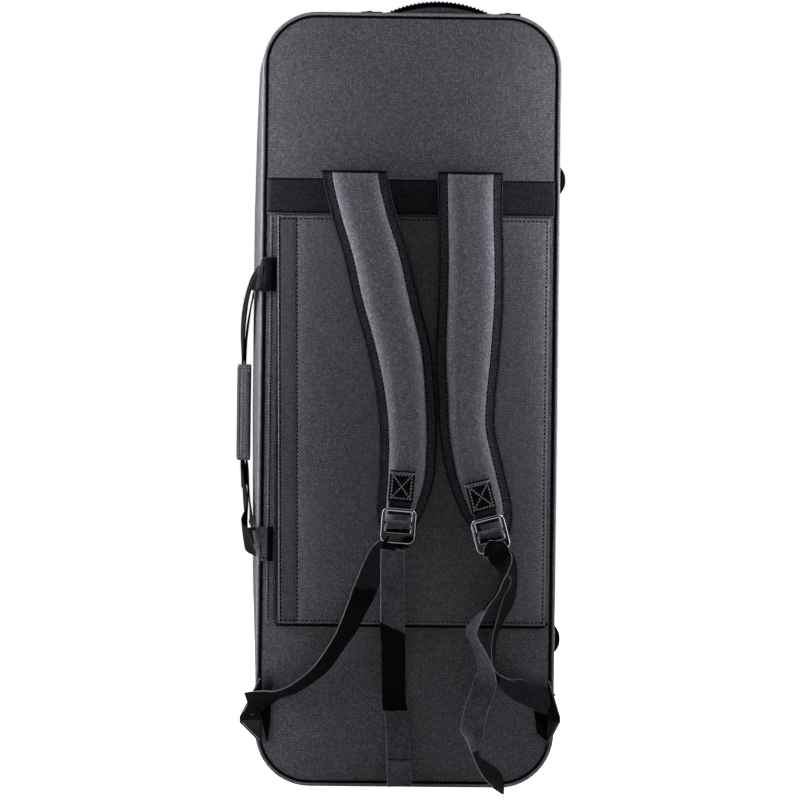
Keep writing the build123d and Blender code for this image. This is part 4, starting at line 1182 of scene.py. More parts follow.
class CASE_OT_shoulder_pads(bpy.types.Operator):
    """The two shoulder pads with their stitched flanges"""
    bl_idname = "case.shoulder_pads"
    bl_label = "Shoulder pads"

    def execute(self, context):
        for side in ("left", "right"):
            make_pad(side, f"strap_{side}", MATERIALS)
        return {"FINISHED"}


# Buckles and webbing. Each buckle is drawn upright round its middle bar and turned to hang.
BUCKLES = {"left": (-9.84, 288.95, 4.0), "right": (90.53, 280.52, -15.0)}
BUCKLE_Y = -129.55
LIP_Z = -20.8


def buckle_place(side):
    """Where a buckle hangs, and how far it is turned."""
    x, z, turn = BUCKLES[side]
    return Matrix.Translation((x, BUCKLE_Y, z)) @ Matrix.Rotation(radians(turn), 4, "Y")


def framed(place, y, z, face_y=-1.0, face_z=0.0):
    """A station on a buckle's centre line, with the direction that the strap's face looks in."""
    face = (place.to_3x3() @ Vector((0, face_y, face_z))).normalized()
    return place @ Vector((0, y, z)), face


def rounded(width, height, radius, middle=0.0, cuts=6):
    """A rectangle's outline with rounded corners, as places across and up."""
    spots = []
    for x, z, start in ((1, 1, 0), (-1, 1, 90), (-1, -1, 180), (1, -1, 270)):
        for cut in range(cuts + 1):
            angle = radians(start + 90 * cut / cuts)
            spots.append((x * (width / 2 - radius) + radius * cos(angle),
                          middle + z * (height / 2 - radius) + radius * sin(angle)))
    return spots


def make_buckle(side, body, m):
    """A three-bar ladder buckle: rounded bars, two slots and a lip that flares forward."""
    curve = bpy.data.curves.new("buckle_plan", "CURVE")
    curve.dimensions = "2D"
    curve.fill_mode = "BOTH"
    soft, bar, upper_slot, lower_slot, slot_width = 1.45, 2.2, 11.4, 6.6, 27
    high = bar + upper_slot + 4.4
    plans = [rounded(38 - 2 * soft, high - LIP_Z - 2 * soft, 6.0, (high + LIP_Z) / 2),
             rounded(slot_width + 2 * soft, upper_slot + 2 * soft, 2.2, bar + upper_slot / 2),
             rounded(slot_width + 2 * soft, lower_slot + 2 * soft, 2.2, -bar - lower_slot / 2)]
    for plan in plans:
        spline = curve.splines.new("POLY")
        spline.points.add(len(plan) - 1)
        spline.points.foreach_set("co", [c for x, z in plan for c in (x * MM, z * MM, 0, 1)])
        spline.use_cyclic_u = True
    curve.extrude = (1.6 - soft) * MM
    curve.bevel_depth = soft * MM
    curve.bevel_resolution = 4
    mesh = plain_mesh(linked("buckle_plan", curve))
    bm = bmesh.new()
    bm.from_mesh(mesh)
    bmesh.ops.remove_doubles(bm, verts=bm.verts, dist=0.00002)
    place = buckle_place(side)
    for v in bm.verts:
        x, z, y = v.co.x / MM, v.co.y / MM, v.co.z / MM
        below = max(-z - 10.5, 0) / 10
        y -= 1.7 * below * below + 0.25 * (1 - (x / 19) ** 2)
        v.co = (place @ Vector((x, y, z))) * MM
    turned_outwards(bm, mesh)
    settle(dressed(f"ladder_buckle_{side}", mesh, m["nickel"]), body, "gunmetal", f"buckle_{side}")


def make_tab(side, body, m):
    """The webbing tab behind the buckle's end bar, sewn to the pad with a boxed cross."""
    place = buckle_place(side)
    rows = ((-1.2, 58.0, 0), (-1.3, 50.0, 0), (-1.2, 34.0, 0), (-1.2, 27.0, 0), (-0.9, 24.0, -0.2),
            (0.7, 21.2, -0.9), (2.3, 18.8, -0.8), (2.9, 16.0, -0.1), (2.6, 13.2, 0.2), (2.1, 10.6, 0.2))
    stations = [framed(place, y, z, -1, tip) for y, z, tip in rows]
    tab = strap(f"pad_patch_{side}", stations, 25.0, 1.2, m["handle_webbing"], step=1.5)
    settle(tab, body, "black_webbing", f"pad_tab_{side}")
    # The patch sewn over the tab, its top edge folded under; the fold's light line is a painted highlight in
    # the lighter edge finish
    rings = []
    for z, lift in ((25.0, -2.1), (25.3, -2.6), (27.0, -2.75), (40.0, -2.7), (55.2, -2.9), (57.0, -3.3),
                    (58.6, -3.0), (59.0, -2.2)):
        ring = []
        for x, deep in ((-13.4, 0.9), (-13.6, 0.4), (-13.0, 0), (-6, -0.15), (0, -0.2), (6, -0.15), (13.0, 0),
                        (13.6, 0.4), (13.4, 0.9)):
            ring.append(place @ Vector((x, lift + deep + 0.12 * noise.noise(Vector((x, z, 3)) / 4), z)))
        ring += [place @ Vector((x, -1.5, z)) for x in (8, -8)]
        rings.append(ring)
    patch = piece(f"pad_patch_cover_{side}", skin(rings), m["webbing"])
    patch.data.materials.append(m["selvedge"])
    for face in patch.data.polygons:
        if face.index // len(rings[0]) == 4 and face.index % len(rings[0]) < 8:
            face.material_index = 1
    settle(patch, body, "black_webbing")

    def at(x, z):
        return place @ Vector((x, -3.05, z))

    half, low, high = 10.5, 28.5, 54.0
    corners = [(-half, low), (half, low), (half, high), (-half, high), (-half, low)]
    face = place.to_3x3() @ BACK
    for row in (corners, (corners[0], corners[2]), (corners[1], corners[3])):
        sew_lines(body, "grey", row, at, face, pitch=3.2, cuts=5)


# Load webbing and tails: share of the half width, of the buckle's distance in front of the panel, of
# the lip's height above the lower end, and where the face looks.
LOADS = {
    "left": ((-0.162, 0.454, 0.940, 0, 0), (-0.219, 0.458, 0.847, 0, 1),
             (-0.284, 0.499, 0.701, -7, 0), (-0.332, 0.567, 0.607, -27, -8),
             (-0.390, 0.612, 0.490, -35, -15), (-0.440, 0.590, 0.415, -43, -24),
             (-0.537, 0.603, 0.283, -44, -29), (-0.629, 0.603, 0.201, -44, -41),
             (-0.748, 0.558, 0.128, -40, -53), (-0.851, 0.431, 0.091, -29, -59),
             (-0.934, 0.363, 0.068, -14, -38),
             (-1.049, 0.259, 0.033, 4, -4)),
    "right": ((0.614, 0.626, 0.997, 2, 7),
             (0.666, 0.703, 0.932, -28, 20), (0.713, 0.794, 0.827, -71, 4),
             (0.679, 0.812, 0.703, -56, -15), (0.631, 0.785, 0.587, -66, -19),
             (0.591, 0.730, 0.474, -75, -12), (0.583, 0.649, 0.361, -78, 1),
             (0.598, 0.590, 0.264, -87, 23), (0.667, 0.522, 0.180, -135, 43),
             (0.752, 0.431, 0.142, -179, 21), (0.871, 0.277, 0.097, 172, 2),
             (0.973, 0.186, 0.048, 173, 0)),
}
TAILS = {
    "left": ((-0.096, 1.202, 0.972, 0, 1), (-0.095, 1.247, 0.811, 0, 0),
             (-0.093, 1.224, 0.665, 2, -8), (-0.082, 0.839, 0.561, 1, -15),
             (-0.073, 0.227, 0.357, -0, -10), (-0.055, 0.249, 0.292, 0, 5),
             (-0.038, 0.476, 0.126, 0, 6), (-0.032, 0.612, 0.007, -0, 5)),
    "right": ((0.588, 1.610, 1.012, -0, 0), (0.614, 1.610, 0.982, -0, -5),
             (0.633, 1.542, 0.942, 51, -11), (0.636, 1.497, 0.898, 81, 9),
             (0.605, 1.451, 0.835, 88, 25), (0.554, 1.406, 0.788, 88, 34),
             (0.512, 1.361, 0.750, 83, 34), (0.457, 1.315, 0.699, 67, 26),
             (0.434, 1.270, 0.663, 67, -5), (0.461, 1.184, 0.621, 67, -26),
             (0.507, 1.093, 0.564, 62, -20), (0.535, 1.048, 0.490, 42, -4),
             (0.520, 1.043, 0.427, -0, 3), (0.478, 1.134, 0.349, -1, 9),
             (0.448, 1.361, 0.262, -3, 18), (0.446, 1.701, 0.204, -58, 22),
             (0.459, 2.109, 0.164, -78, 34), (0.504, 2.517, 0.130, -60, 50),
             (0.570, 3.107, 0.077, -34, 44), (0.607, 3.605, 0.019, -71, 29)),
}
CORNER_APEX = 84.0
WEBBING_WIDTH = 26.0


def hanging(side, rows, end_z):
    """Stations of a strap that hangs from a buckle, from a table's shares of the way down."""
    lip_z = BUCKLES[side][1] + LIP_Z
    return [(Vector((x * HALF_WIDTH, BACK_Y + out * (BUCKLE_Y - BACK_Y), end_z + up * (lip_z - end_z))),
             facing(turn, tilt)) for x, out, up, turn, tilt in rows]


def left_tail_painted_shade(spot):
    """Painted shade on the left tail, which hangs slack below the pocket: black just under the buckle's lip,
    and on its slack part, which faces down away from the light.
    """
    crease = 169.7 + 0.47 * (-1.3 - spot.x)
    if 262.0 < spot.z < 284.0 or 84.0 < spot.z < crease:
        return MATERIALS["webbing_dull"]
    return None


def right_tail_painted_shade(spot):
    """Painted shade on the right tail: black under the buckle, down to where it turns edge on; its lowest
    end, below 44 mm, takes the darker plain webbing too.
    """
    return MATERIALS["webbing"] if 196.0 < spot.z < 275.0 or spot.z < 44.0 else None


TAIL_PAINTED_SHADE = {"left": left_tail_painted_shade, "right": right_tail_painted_shade}
# Painted light on the load webbing: a lighter copy near the left buckle, and the lighter flat webbing on the
# right one's low end by the corner.
LOAD_PAINTED_LIGHT = {"left": lambda spot: MATERIALS["handle_webbing"] if spot.z > 218.0 else None,
               "right": lambda spot: MATERIALS["band"] if spot.x > 104.0 and spot.z < 135.0 else None}


def make_webbing(side, body, m):
    """The tail, wrapped round the buckle's middle bar, and the load webbing under it."""
    place = buckle_place(side)
    wrap = [framed(place, *row) for row in (
        (2.9, -4.5, 1, 0), (2.8, 0.0, 1, 0), (2.1, 2.7, 0.7, 0.7), (0.0, 3.6, 0, 1), (-2.1, 2.7, -0.7, 0.7),
        (-2.8, 0.0, -1, 0), (-2.2, -2.9, -0.8, -0.5), (0.3, -5.2, -0.5, -0.8), (2.5, -8.4, -0.85, -0.4),
        (2.9, -13.0), (3.0, LIP_Z - 1.5))]
    tail = strap(f"webbing_tail_{side}", wrap + hanging(side, TAILS[side], 0), WEBBING_WIDTH,
                 in_mm("webbing"), m["tail"], cup=0.3, step=1.6, edge=m["selvedge"],
                 finish=TAIL_PAINTED_SHADE[side])
    settle(tail, body, "black_webbing", f"tail_webbing_{side}")
    top = [framed(place, 4.8, -2.0), framed(place, 4.9, LIP_Z)]
    load = strap(f"webbing_load_{side}", top + hanging(side, LOADS[side], CORNER_APEX), WEBBING_WIDTH,
                 in_mm("webbing"), m["webbing"], cup=0.3, step=3.0, edge=m["selvedge"],
                 finish=LOAD_PAINTED_LIGHT[side])
    settle(load, "case", "black_webbing", f"load_webbing_{side}")
    load.parent = None
    if side == "left":
        hem = strap("tail_hem_left", [(Vector((x, y, z)), BACK) for x, y, z in (
            (-6.4, -118.6, 33.2), (-6.2, -120.2, 31.5), (-6.0, -120.9, 26.0), (-5.6, -121.9, 14.0),
            (-5.2, -122.6, 1.9))], 26.4, 1.6, m["tail"], step=2.0, edge=m["selvedge"])
        settle(hem, body, "black_webbing")
        sew(body, "dark", [Vector((x, -121.1, 31.0)) for x in range(-18, 7, 3)], BACK, pitch=3.2)
    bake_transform(load)


def corner_cloth_at(share, low):
    """A corner cloth's half height and the height of its middle, at a share of its way inwards."""
    root_half, apex_half, root_middle = 39.5, 3.0, 85.5
    return root_half * (1 - share) + apex_half * share, root_middle * (1 - share) + low * share


def make_corner_tabs(m):
    """Cloth triangles sewn into the back seam, folded round the ends of the load webbing."""
    seam_in, cuts, stitch_in = 7.0, 14, 3.2
    for name, way, reach, low in (("left", -1, 17.0, 72.5), ("right", 1, 7.0, 76.0)):
        root, apex = way * (HALF_WIDTH - seam_in), way * (HALF_WIDTH + reach)
        rings = []
        for k in range(cuts + 1):
            share = k / cuts
            x = root + (apex - root) * share
            half, centre = corner_cloth_at(share, low)
            front = -111.6 - 0.9 * sin(pi * share) - 0.25 * noise.noise(Vector((x, 2, 7)) / 9)
            deep = 2.2 + 1.5 * (1 - share)
            rings.append([Vector((x, y, z)) for y, z in (
                (front + 0.5, centre - half), (front, centre - half + 1.2), (front - 0.2, centre - half / 3),
                (front - 0.2, centre + half / 3), (front, centre + half - 1.2), (front + 0.5, centre + half),
                (front + deep - 0.4, centre + half), (front + deep, centre + half - 1),
                (front + deep, centre - half + 1), (front + deep - 0.4, centre - half))])
        tab = piece(f"corner_cloth_{name}", skin(rings), m["webbing"])
        tab.data.materials.append(m["handle_webbing"])
        # The lower front edge takes the lighter webbing: a painted highlight where it catches the light
        for face in tab.data.polygons:
            face.material_index = 1 if face.index % len(rings[0]) < 2 else 0
        settle(tab, "case", "ballistic_nylon", f"corner_tab_{name}")
        for edge in (-1, 1):
            row = []
            for k in range(1, 9):
                share = k / 10
                half, centre = corner_cloth_at(share, low)
                row.append(Vector((root + (apex - root) * share, -112.6 - 0.8 * sin(pi * share),
                                   centre + edge * (half - stitch_in))))
            sew("case", "grey", row, BACK, pitch=2.8)


# Near-black sheets flat on the panel beside the corner cloths, drawn as the webbing's turned-under ends:
# painted shadow where the cloths' shade falls. Places (x, z)
UNDER_END_SHADOWS = {"left": ((-159.8, 90.7), (-146.7, 87.5), (-147.5, 70.0), (-150.5, 44.7)),
              "right": ((142.2, 85.0), (157.6, 79.6), (158.0, 50.0), (145.8, 60.8))}


def make_under_end_shadows(m):
    """Painted shadow beside the corner cloths, drawn as the webbing's turned-under ends lying flat on the
    panel.
    """
    for side, corners in UNDER_END_SHADOWS.items():
        rings = []
        top_out, top_in, low_in, low_out = (Vector((x, 0, z)) for x, z in corners)
        for share in (0.0, 0.5, 1.0):
            one, two = top_out.lerp(low_out, share), top_in.lerp(low_in, share)
            ring = [one.lerp(two, k / 4) + Vector((0, -108.7 - 0.6 * sin(pi * k / 4), 0)) for k in range(5)]
            ring += [two.lerp(one, k / 2) + Vector((0, -107.7, 0)) for k in range(3)]
            rings.append(ring)
        end = piece(f"webbing_under_end_{side}", skin(rings), m["webbing_dull"])
        settle(end, "case", "black_webbing")


class CASE_OT_strap_hardware(bpy.types.Operator):
    """Buckles, pad tabs, load webbing, free tails and corner tabs"""
    bl_idname = "case.strap_hardware"
    bl_label = "Buckles and webbing"

    def execute(self, context):
        for side in ("left", "right"):
            body = f"strap_{side}"
            make_buckle(side, body, MATERIALS)
            make_tab(side, body, MATERIALS)
            make_webbing(side, body, MATERIALS)
        make_corner_tabs(MATERIALS)
        make_under_end_shadows(MATERIALS)
        return {"FINISHED"}


# Side handle. Rows: share of the way out to the grip, of the way to the zip, of the way along.
HANDLE_ROWS = {
    "body": (((0.202, 0.051, 0.000, 90), (0.311, 0.219, 0.035, 90), (0.661, 0.489, 0.199, 84),
              (0.933, 0.742, 0.487, 80), (1.018, 0.936, 0.800, 84)),
             ((0.202, 0.051, 0.000, 90), (0.311, 0.169, 0.009, 90), (0.762, 0.337, 0.095, 84),
              (0.607, 0.607, 0.312, 80), (0.809, 0.843, 0.587, 88), (0.933, 0.961, 0.824, 90))),
    "lid": (((0.232, 0.074, 0.000, 90), (0.357, 0.246, 0.052, 90), (0.624, 0.541, 0.243, 88),
             (0.891, 0.811, 0.591, 90), (0.980, 0.958, 0.826, 90)),
            ((0.232, 0.074, 0.000, 90), (0.357, 0.246, 0.057, 90), (0.499, 0.491, 0.246, 88),
             (0.642, 0.762, 0.530, 88), (0.784, 0.958, 0.814, 90))),
}
HANDLE_LOW, HANDLE_HIGH = 265.2, 561.0
GRIP_LOW, GRIP_HIGH = 355.0, 463.0
GRIP_NEAR, GRIP_FAR = -2.0, 42.0
GRIP_CUTS = 40
MOUTH_X = -186.7
GRIP_OUT = -189.2
GRIP_MIDDLE, GRIP_HALF = 20, 22
PATCH_X, PATCH_END_X, PATCH_HALF = -147.0, -160.5, 15.5
HANDLE_WIDTH, HANDLE_CLOTH, HANDLE_THICK, HANDLE_GAP = 38.0, 1.7, 1.8, 0.3


def handle_end(rows, plane_y, outwards, grip_x, patch_z, grip_z):
    """Stations from the patch on a panel, round the panel's edge and out to the grip."""
    lift = PANEL_RISE + HANDLE_GAP + HANDLE_THICK / 2
    lay_y = plane_y + outwards * lift
    flat_turn = 0 if outwards < 0 else 180
    tilt = 24 if patch_z > grip_z else -26
    stations = [(Vector((PATCH_X, lay_y - outwards * 0.9, patch_z)), facing(flat_turn, 0)),
                (Vector((PATCH_X - 6.0, lay_y + outwards * 0.9, patch_z)), facing(flat_turn, 0)),
                (Vector((2 * lift - HALF_WIDTH, lay_y + outwards * 0.3, patch_z)),
                 facing(flat_turn, 0.2 * tilt)),
                (Vector((-lift - HALF_WIDTH, lay_y - outwards * lift / 2, patch_z)),
                 facing((flat_turn + 90) / 2, 0.6 * tilt))]
    for number, (x_share, y_share, z_share, turn) in enumerate(rows):
        point = Vector((-HALF_WIDTH + x_share * (grip_x + HALF_WIDTH), plane_y + y_share * (ZIP_Y - plane_y),
                        patch_z + z_share * (grip_z - patch_z)))
        stations.append((point, facing(turn, tilt * (1, 0.8, 0.4, 0.2, 0, 0)[number])))
    stations.append((Vector((grip_x, ZIP_Y, grip_z)), facing(90, 0)))
    return stations


def handle_painted_light(spot):
    """Painted light and shade on the side handle's strap: off the panel its face is near-black painted shade;
    on the panel's patches, lighter webbing is a painted highlight where pulled ribs catch the light.
    """
    if spot.x < -167.5:
        return MATERIALS["webbing_dull"]
    if spot.y < -100.0 and spot.z < 300.0 and spot.x < -154.0:
        return MATERIALS["tail"]
    if spot.y < -100.0 and spot.z > 500.0 and spot.x < -157.0:
        return MATERIALS["handle_webbing"]
    return None


def make_handle_straps(m):
    """One strap on each half, from patch to patch, with a box of stitches on each patch."""
    for half, body, plane_y, outwards, grip_x in (("body", "case", BACK_Y, -1, -185.15),
                                                  ("lid", "lid", FRONT_Y, 1, -182.4)):
        upper_rows, lower_rows = HANDLE_ROWS[half]
        upper = handle_end(upper_rows, plane_y, outwards, grip_x, HANDLE_HIGH, GRIP_HIGH)
        lower = handle_end(lower_rows, plane_y, outwards, grip_x, HANDLE_LOW, GRIP_LOW)
        obj = strap(f"carry_strap_{half}", upper + lower[::-1], HANDLE_WIDTH, HANDLE_CLOTH, m["webbing"],
                    cup=-0.5, step=3.0, finish=handle_painted_light)
        settle(obj, body, "black_webbing", f"handle_strap_{half}")
        face = Vector((0, outwards, 0))
        for z in (HANDLE_LOW, HANDLE_HIGH):
            x1, x2, z1, z2 = PATCH_X - 3, PATCH_END_X, z - PATCH_HALF, z + PATCH_HALF
            for row in (((x1, z1), (x1, z2)), ((x2, z1), (x2, z2)), ((x1, z1), (x2, z1)),
                        ((x1, z2), (x2, z2))):
                sew_lines(body, "dark", row, lambda x, z: Vector((x, plane_y + outwards * 3.0, z)), face,
                          pitch=2.8)


def grip_height(cut):
    """The height of one of the cuts across the grip."""
    return GRIP_LOW + (GRIP_HIGH - GRIP_LOW) * cut / GRIP_CUTS


def grip_dip(z, seam, deep):
    """How far a seam near each end of the grip draws the cloth in."""
    return sum(deep * exp(-((z - low) / 1.2) ** 2) for low in (GRIP_LOW + seam, GRIP_HIGH - seam))


def make_grip(m):
    """A padded cloth wrap round both straps, with a flap that closes over its open side."""
    near, far = GRIP_NEAR, GRIP_FAR
    # U-shaped section of the wrap in x and y, thick cloth with rounded corners
    outer = [(MOUTH_X, near), (-183, near - 0.35), (-179, near - 0.1), (-176.2, near + 0.8),
             (-175.2, near + 3.2), (-174.9, 12), (-174.9, 28), (-175.2, far - 3.2), (-176.2, far - 0.8),
             (-179, far + 0.1), (-183, far + 0.35), (MOUTH_X, far)]
    inner = [(MOUTH_X, far - 2.2), (-180, far - 2.3), (-178.2, far - 3.2), (-177.4, far - 5.0), (-177.2, 20),
             (-177.4, near + 5.0), (-178.2, near + 3.2), (-180, near + 2.3), (MOUTH_X, near + 2.2)]
    centre = Vector((-181, GRIP_MIDDLE))
    rings = []
    for z in (grip_height(cut) for cut in range(GRIP_CUTS + 1)):
        end = 0.8 * max(0.0, 1 - min(z - GRIP_LOW, GRIP_HIGH - z) / 1.0) ** 2
        drawn_in = grip_dip(z, 3.5, 0.45) + end
        ring = []
        for x, y in outer:
            away = Vector((x, y)) - centre
            spot = centre + away * (1 - drawn_in / max(away.length, 1))
            ring.append(Vector((spot.x, spot.y + 0.3 * noise.noise(Vector((x, y, z)) / 15), z)))
        rings.append(ring + [Vector((x, y, z)) for x, y in inner])
    wrap = piece("grip_wrap_cloth", skin(rings), m["ballistic"])
    settle(wrap, "case", "ballistic_nylon", "grip_wrap")
    rings = []
    for z in (grip_height(cut) for cut in range(GRIP_CUTS + 1)):
        close = 0.9 * max(0.0, 1 - min(z - GRIP_LOW, GRIP_HIGH - z) / 1.2) ** 2
        ring = []
        for k in range(23):
            s = -1 + 2 * k / 22
            y = GRIP_MIDDLE + GRIP_HALF * s
            seams = 0.5 * exp(-((GRIP_HALF - abs(y - GRIP_MIDDLE) - 4) / 1.1) ** 2)
            crown = 1.1 * (1 - s ** 4) - grip_dip(z, 4, 0.5) - close - seams
            edge = 1.0 * max(0.0, (abs(s) - 0.94) / 0.06) ** 2
            ring.append(Vector((GRIP_OUT - crown + edge, y, z)))
        rings.append(ring + [Vector((MOUTH_X - 0.3, GRIP_MIDDLE + GRIP_HALF * s, z))
                             for s in (0.97, 0.4, -0.4, -0.97)])
    flap = piece("grip_flap_cloth", skin(rings), m["ballistic"])
    settle(flap, "grip_cover", "ballistic_nylon", "grip_flap")
    sew_grip(near, far)


def sew_grip(near, far):
    """The flap's seams on its outer side, and the wrap's on the side that faces the camera."""
    out = Vector((-1, 0, 0))
    heights = range(int(GRIP_LOW) + 5, int(GRIP_HIGH) - 4, 4)
    for y in (near + 4, far - 4):
        sew("grip_cover", "dark", [Vector((GRIP_OUT - 0.75, y, z)) for z in heights], out)
    for z in (GRIP_LOW + 4, GRIP_HIGH - 4):
        sew("grip_cover", "dark", [Vector((GRIP_OUT - 0.7, y, z)) for y in range(2, 39, 4)], out)
    for x in (-184.5, -180.5):
        sew("case", "grey", [Vector((x, near - 0.35, z)) for z in heights], BACK)
    for z in (GRIP_LOW + 3.5, GRIP_LOW + 7.5, GRIP_HIGH - 3.5, GRIP_HIGH - 7.5):
        sew("case", "grey", [Vector((x, near - 0.3, z)) for x in (-186, -182, -177)], BACK)


class CASE_OT_side_handle(bpy.types.Operator):
    """The side handle's two straps and the padded grip that joins them"""
    bl_idname = "case.side_handle"
    bl_label = "Side handle"

    def execute(self, context):
        make_handle_straps(MATERIALS)
        make_grip(MATERIALS)
        return {"FINISHED"}


class CASE_OT_top_handle(bpy.types.Operator):
    """The ribbed top handle with its caps and rivets"""
    bl_idname = "case.top_handle"
    bl_label = "Top handle"

    def execute(self, context):
        finish_node("top_handle", "rubber")
        finish_node("top_handle_caps", "rubber")
        finish_node("top_handle_rivets", "steel")
        # The soft core under the ribbed grip, which fills the low arch
        middle_x, middle_y, reach, half_width = 30.5, -44.25, 50.5, 12.6
        arch_top, arch_radius, low = 867.0, 131.0, HEIGHT + 0.6
        rings = []
        for k in range(29):
            x = middle_x + reach * (-1 + 2 * k / 28)
            arch = arch_top - arch_radius + sqrt(arch_radius ** 2 - (x - middle_x) ** 2)
            top = arch - 1.6
            half, mid = max((top - low) / 2, 0.3), (top + low) / 2
            rings.append([Vector((x, middle_y + half_width * cos(radians(a)), mid + half * sin(radians(a))))
                          for a in range(0, 360, 20)])
        core = piece("handle_core", skin(rings), MATERIALS["mesh"])
        settle(core, "case", "rubber")
        return {"FINISHED"}


# Fitted interior
def solid_copy(node, flat=0.0):
    """A plain solid's mesh with its doubled points joined, and its faces too where they lie flat."""
    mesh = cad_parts[node].data.copy()
    bm = bmesh.new()
    bm.from_mesh(mesh)
    bmesh.ops.remove_doubles(bm, verts=bm.verts, dist=0.00001)
    if flat:
        bmesh.ops.dissolve_limit(bm, angle_limit=radians(flat), verts=bm.verts, edges=bm.edges)
    turned_outwards(bm, mesh)
    return mesh


def upholstered(node, name, body, material, voxel, rounds):
    """A foam block covered in plush: the plain solid, softened at all its edges."""
    block = linked(name, solid_copy(node))
    remesh = block.modifiers.new("remesh", "REMESH")
    remesh.mode = "VOXEL"
    remesh.voxel_size = voxel * MM
    soften = block.modifiers.new("soften", "SMOOTH")
    soften.factor = 0.5
    soften.iterations = rounds
    return settle(dressed(name, plain_mesh(block), material), body, "black_plush", node)


def lined(node, name, body, material):
    """A thin plush-covered sheet: the plain solid with its edges rolled over."""
    sheet = dressed(name, solid_copy(node, flat=2), material)
    roll = sheet.modifiers.new("roll", "BEVEL")
    roll.width = 0.7 * MM
    roll.segments = 3
    roll.limit_method = "ANGLE"
    roll.angle_limit = radians(35)
    roll.harden_normals = True
    return settle(linked(name, plain_mesh(sheet)), body, "black_plush", node)


class CASE_OT_interior(bpy.types.Operator):
    """Plush-covered blocks that hold the instrument, and the hold-down strap"""
    bl_idname = "case.interior"
    bl_label = "Interior"

    def execute(self, context):
        m = MATERIALS
        for node, name, body in (("cradle", "cradle_plush", "case"), ("lid_pad", "lid_plush", "lid")):
            upholstered(node, name, body, m["plush"], 3.2, 6)
        for node, name, body in (("cradle_facing", "cradle_rim_plush", "case"),
                                 ("lid_facing", "lid_rim_plush", "lid")):
            lined(node, name, body, m["plush"])
        inwards, strap_z = Vector((0, 1, 0)), 629
        stations = [(Vector((x, 16.95 + 0.25 * noise.noise(Vector((x / 24, 3, 1))), strap_z)), inwards)
                    for x in range(8, 157, 7)]
        stations += [(Vector((155.6, 16.9, strap_z)), inwards)]
        hold = strap("hold_down_webbing", stations, 38.0, 1.3, m["webbing"], step=4.0, edge=m["selvedge"])
        settle(hold, "case", "black_webbing", "hold_down_strap")
        for x1, x2 in ((136.0, 153.0), (10.5, 30.0)):
            low, high = strap_z - 15.5, strap_z + 15.5
            corners = ((x1, low), (x2, low), (x2, high), (x1, high), (x1, low))
            sew_lines("case", "grey", corners, lambda x, z: Vector((x, 17.75, z)), inwards)
        return {"FINISHED"}


class CASE_OT_stitches(bpy.types.Operator):
    """All rows of stitches, sewn along the lines that the pieces left"""
    bl_idname = "case.stitches"
    bl_label = "Stitches"

    def execute(self, context):
        slots = {"dark": "black_webbing", "grey": "piping_cord"}
        for (body, thread, pitch), lines in sorted(STITCHES.items(), key=lambda i: i[0]):
            name = f"stitches_{body}_{thread}_{int(pitch * 10)}"
            obj = row_of_lines(name, lines, stitch_mesh(), pitch, MATERIALS["thread_" + thread])
            settle(obj, body, slots[thread])
        return {"FINISHED"}


class CASE_OT_stage(bpy.types.Operator):
    """Floor, backdrop, light and the camera at the photograph's angle"""
    bl_idname = "case.stage"
    bl_label = "Stage"

    def execute(self, context):
        scene = context.scene
        scene.view_settings.view_transform = "Standard"
        world = bpy.data.worlds.new("studio")
        scene.world = world
        world.use_nodes = True
        tree = world.node_tree
        tree.nodes.clear()
        seen = looked_at(tree)
        soft, white = (add_node(tree, "ShaderNodeBackground", None, {
            "Color": linear("#FFFFFF"), "Strength": power}).outputs["Background"] for power in (0.035, 1.0))
        mix = add_node(tree, "ShaderNodeMixShader", None, {"Fac": seen, 1: soft, 2: white})
        add_node(tree, "ShaderNodeOutputWorld", None, {"Surface": mix.outputs["Shader"]})
        make_floor()
        for name, place, target, size, power in (
                ("left_strip", (-0.30, -0.15, 0.45), (0.0, -0.105, 0.45), (0.05, 0.9), 1.65),
                ("left_high", (-0.36, -0.17, 0.70), (0.0, -0.105, 0.60), (0.05, 0.4), 1.45),
                ("right_strip", (0.30, -0.16, 0.53), (0.0, -0.105, 0.53), (0.05, 0.74), 0.74),
                ("right_high", (0.36, -0.17, 0.70), (0.0, -0.105, 0.60), (0.05, 0.4), 1.8),
                ("overhead", (0.0, -0.22, 1.0), (0.0, -0.105, 0.70), (0.6, 0.05), 0.5),
                ("front", (-0.5, -3.2, 0.6), (0, 0, 0.42), (1.6, 1.6), 0.7),
                ("left_wall", (-1.7, 0.2, 0.8), (-0.1, 0, 0.45), (0.9, 0.9), 14),
                ("right_wall", (1.7, 0.5, 0.8), (0.1, 0, 0.45), (0.9, 0.9), 14),
                ("rear", (0.6, 3.0, 1.6), (0, 0, 0.45), (1.6, 1.6), 50)):
            lamp = bpy.data.lights.new(name, "AREA")
            lamp.shape = "RECTANGLE"
            lamp.size, lamp.size_y = size
            lamp.energy = power
            obj = linked(name, lamp)
            obj.visible_camera = False
            aim = Vector(target) - Vector(place)
            obj.matrix_world = Matrix.Translation(place) @ aim.to_track_quat("-Z", "Y").to_matrix().to_4x4()
        make_camera(scene)
        return {"FINISHED"}


def looked_at(tree):
    """One for rays from the camera, off mirrors and through glass, and nought for all others."""
    path = add_node(tree, "ShaderNodeLightPath")
    bounced = sums(tree, "MAXIMUM", path.outputs["Is Glossy Ray"], path.outputs["Is Transmission Ray"])
    return sums(tree, "MAXIMUM", path.outputs["Is Camera Ray"], bounced)


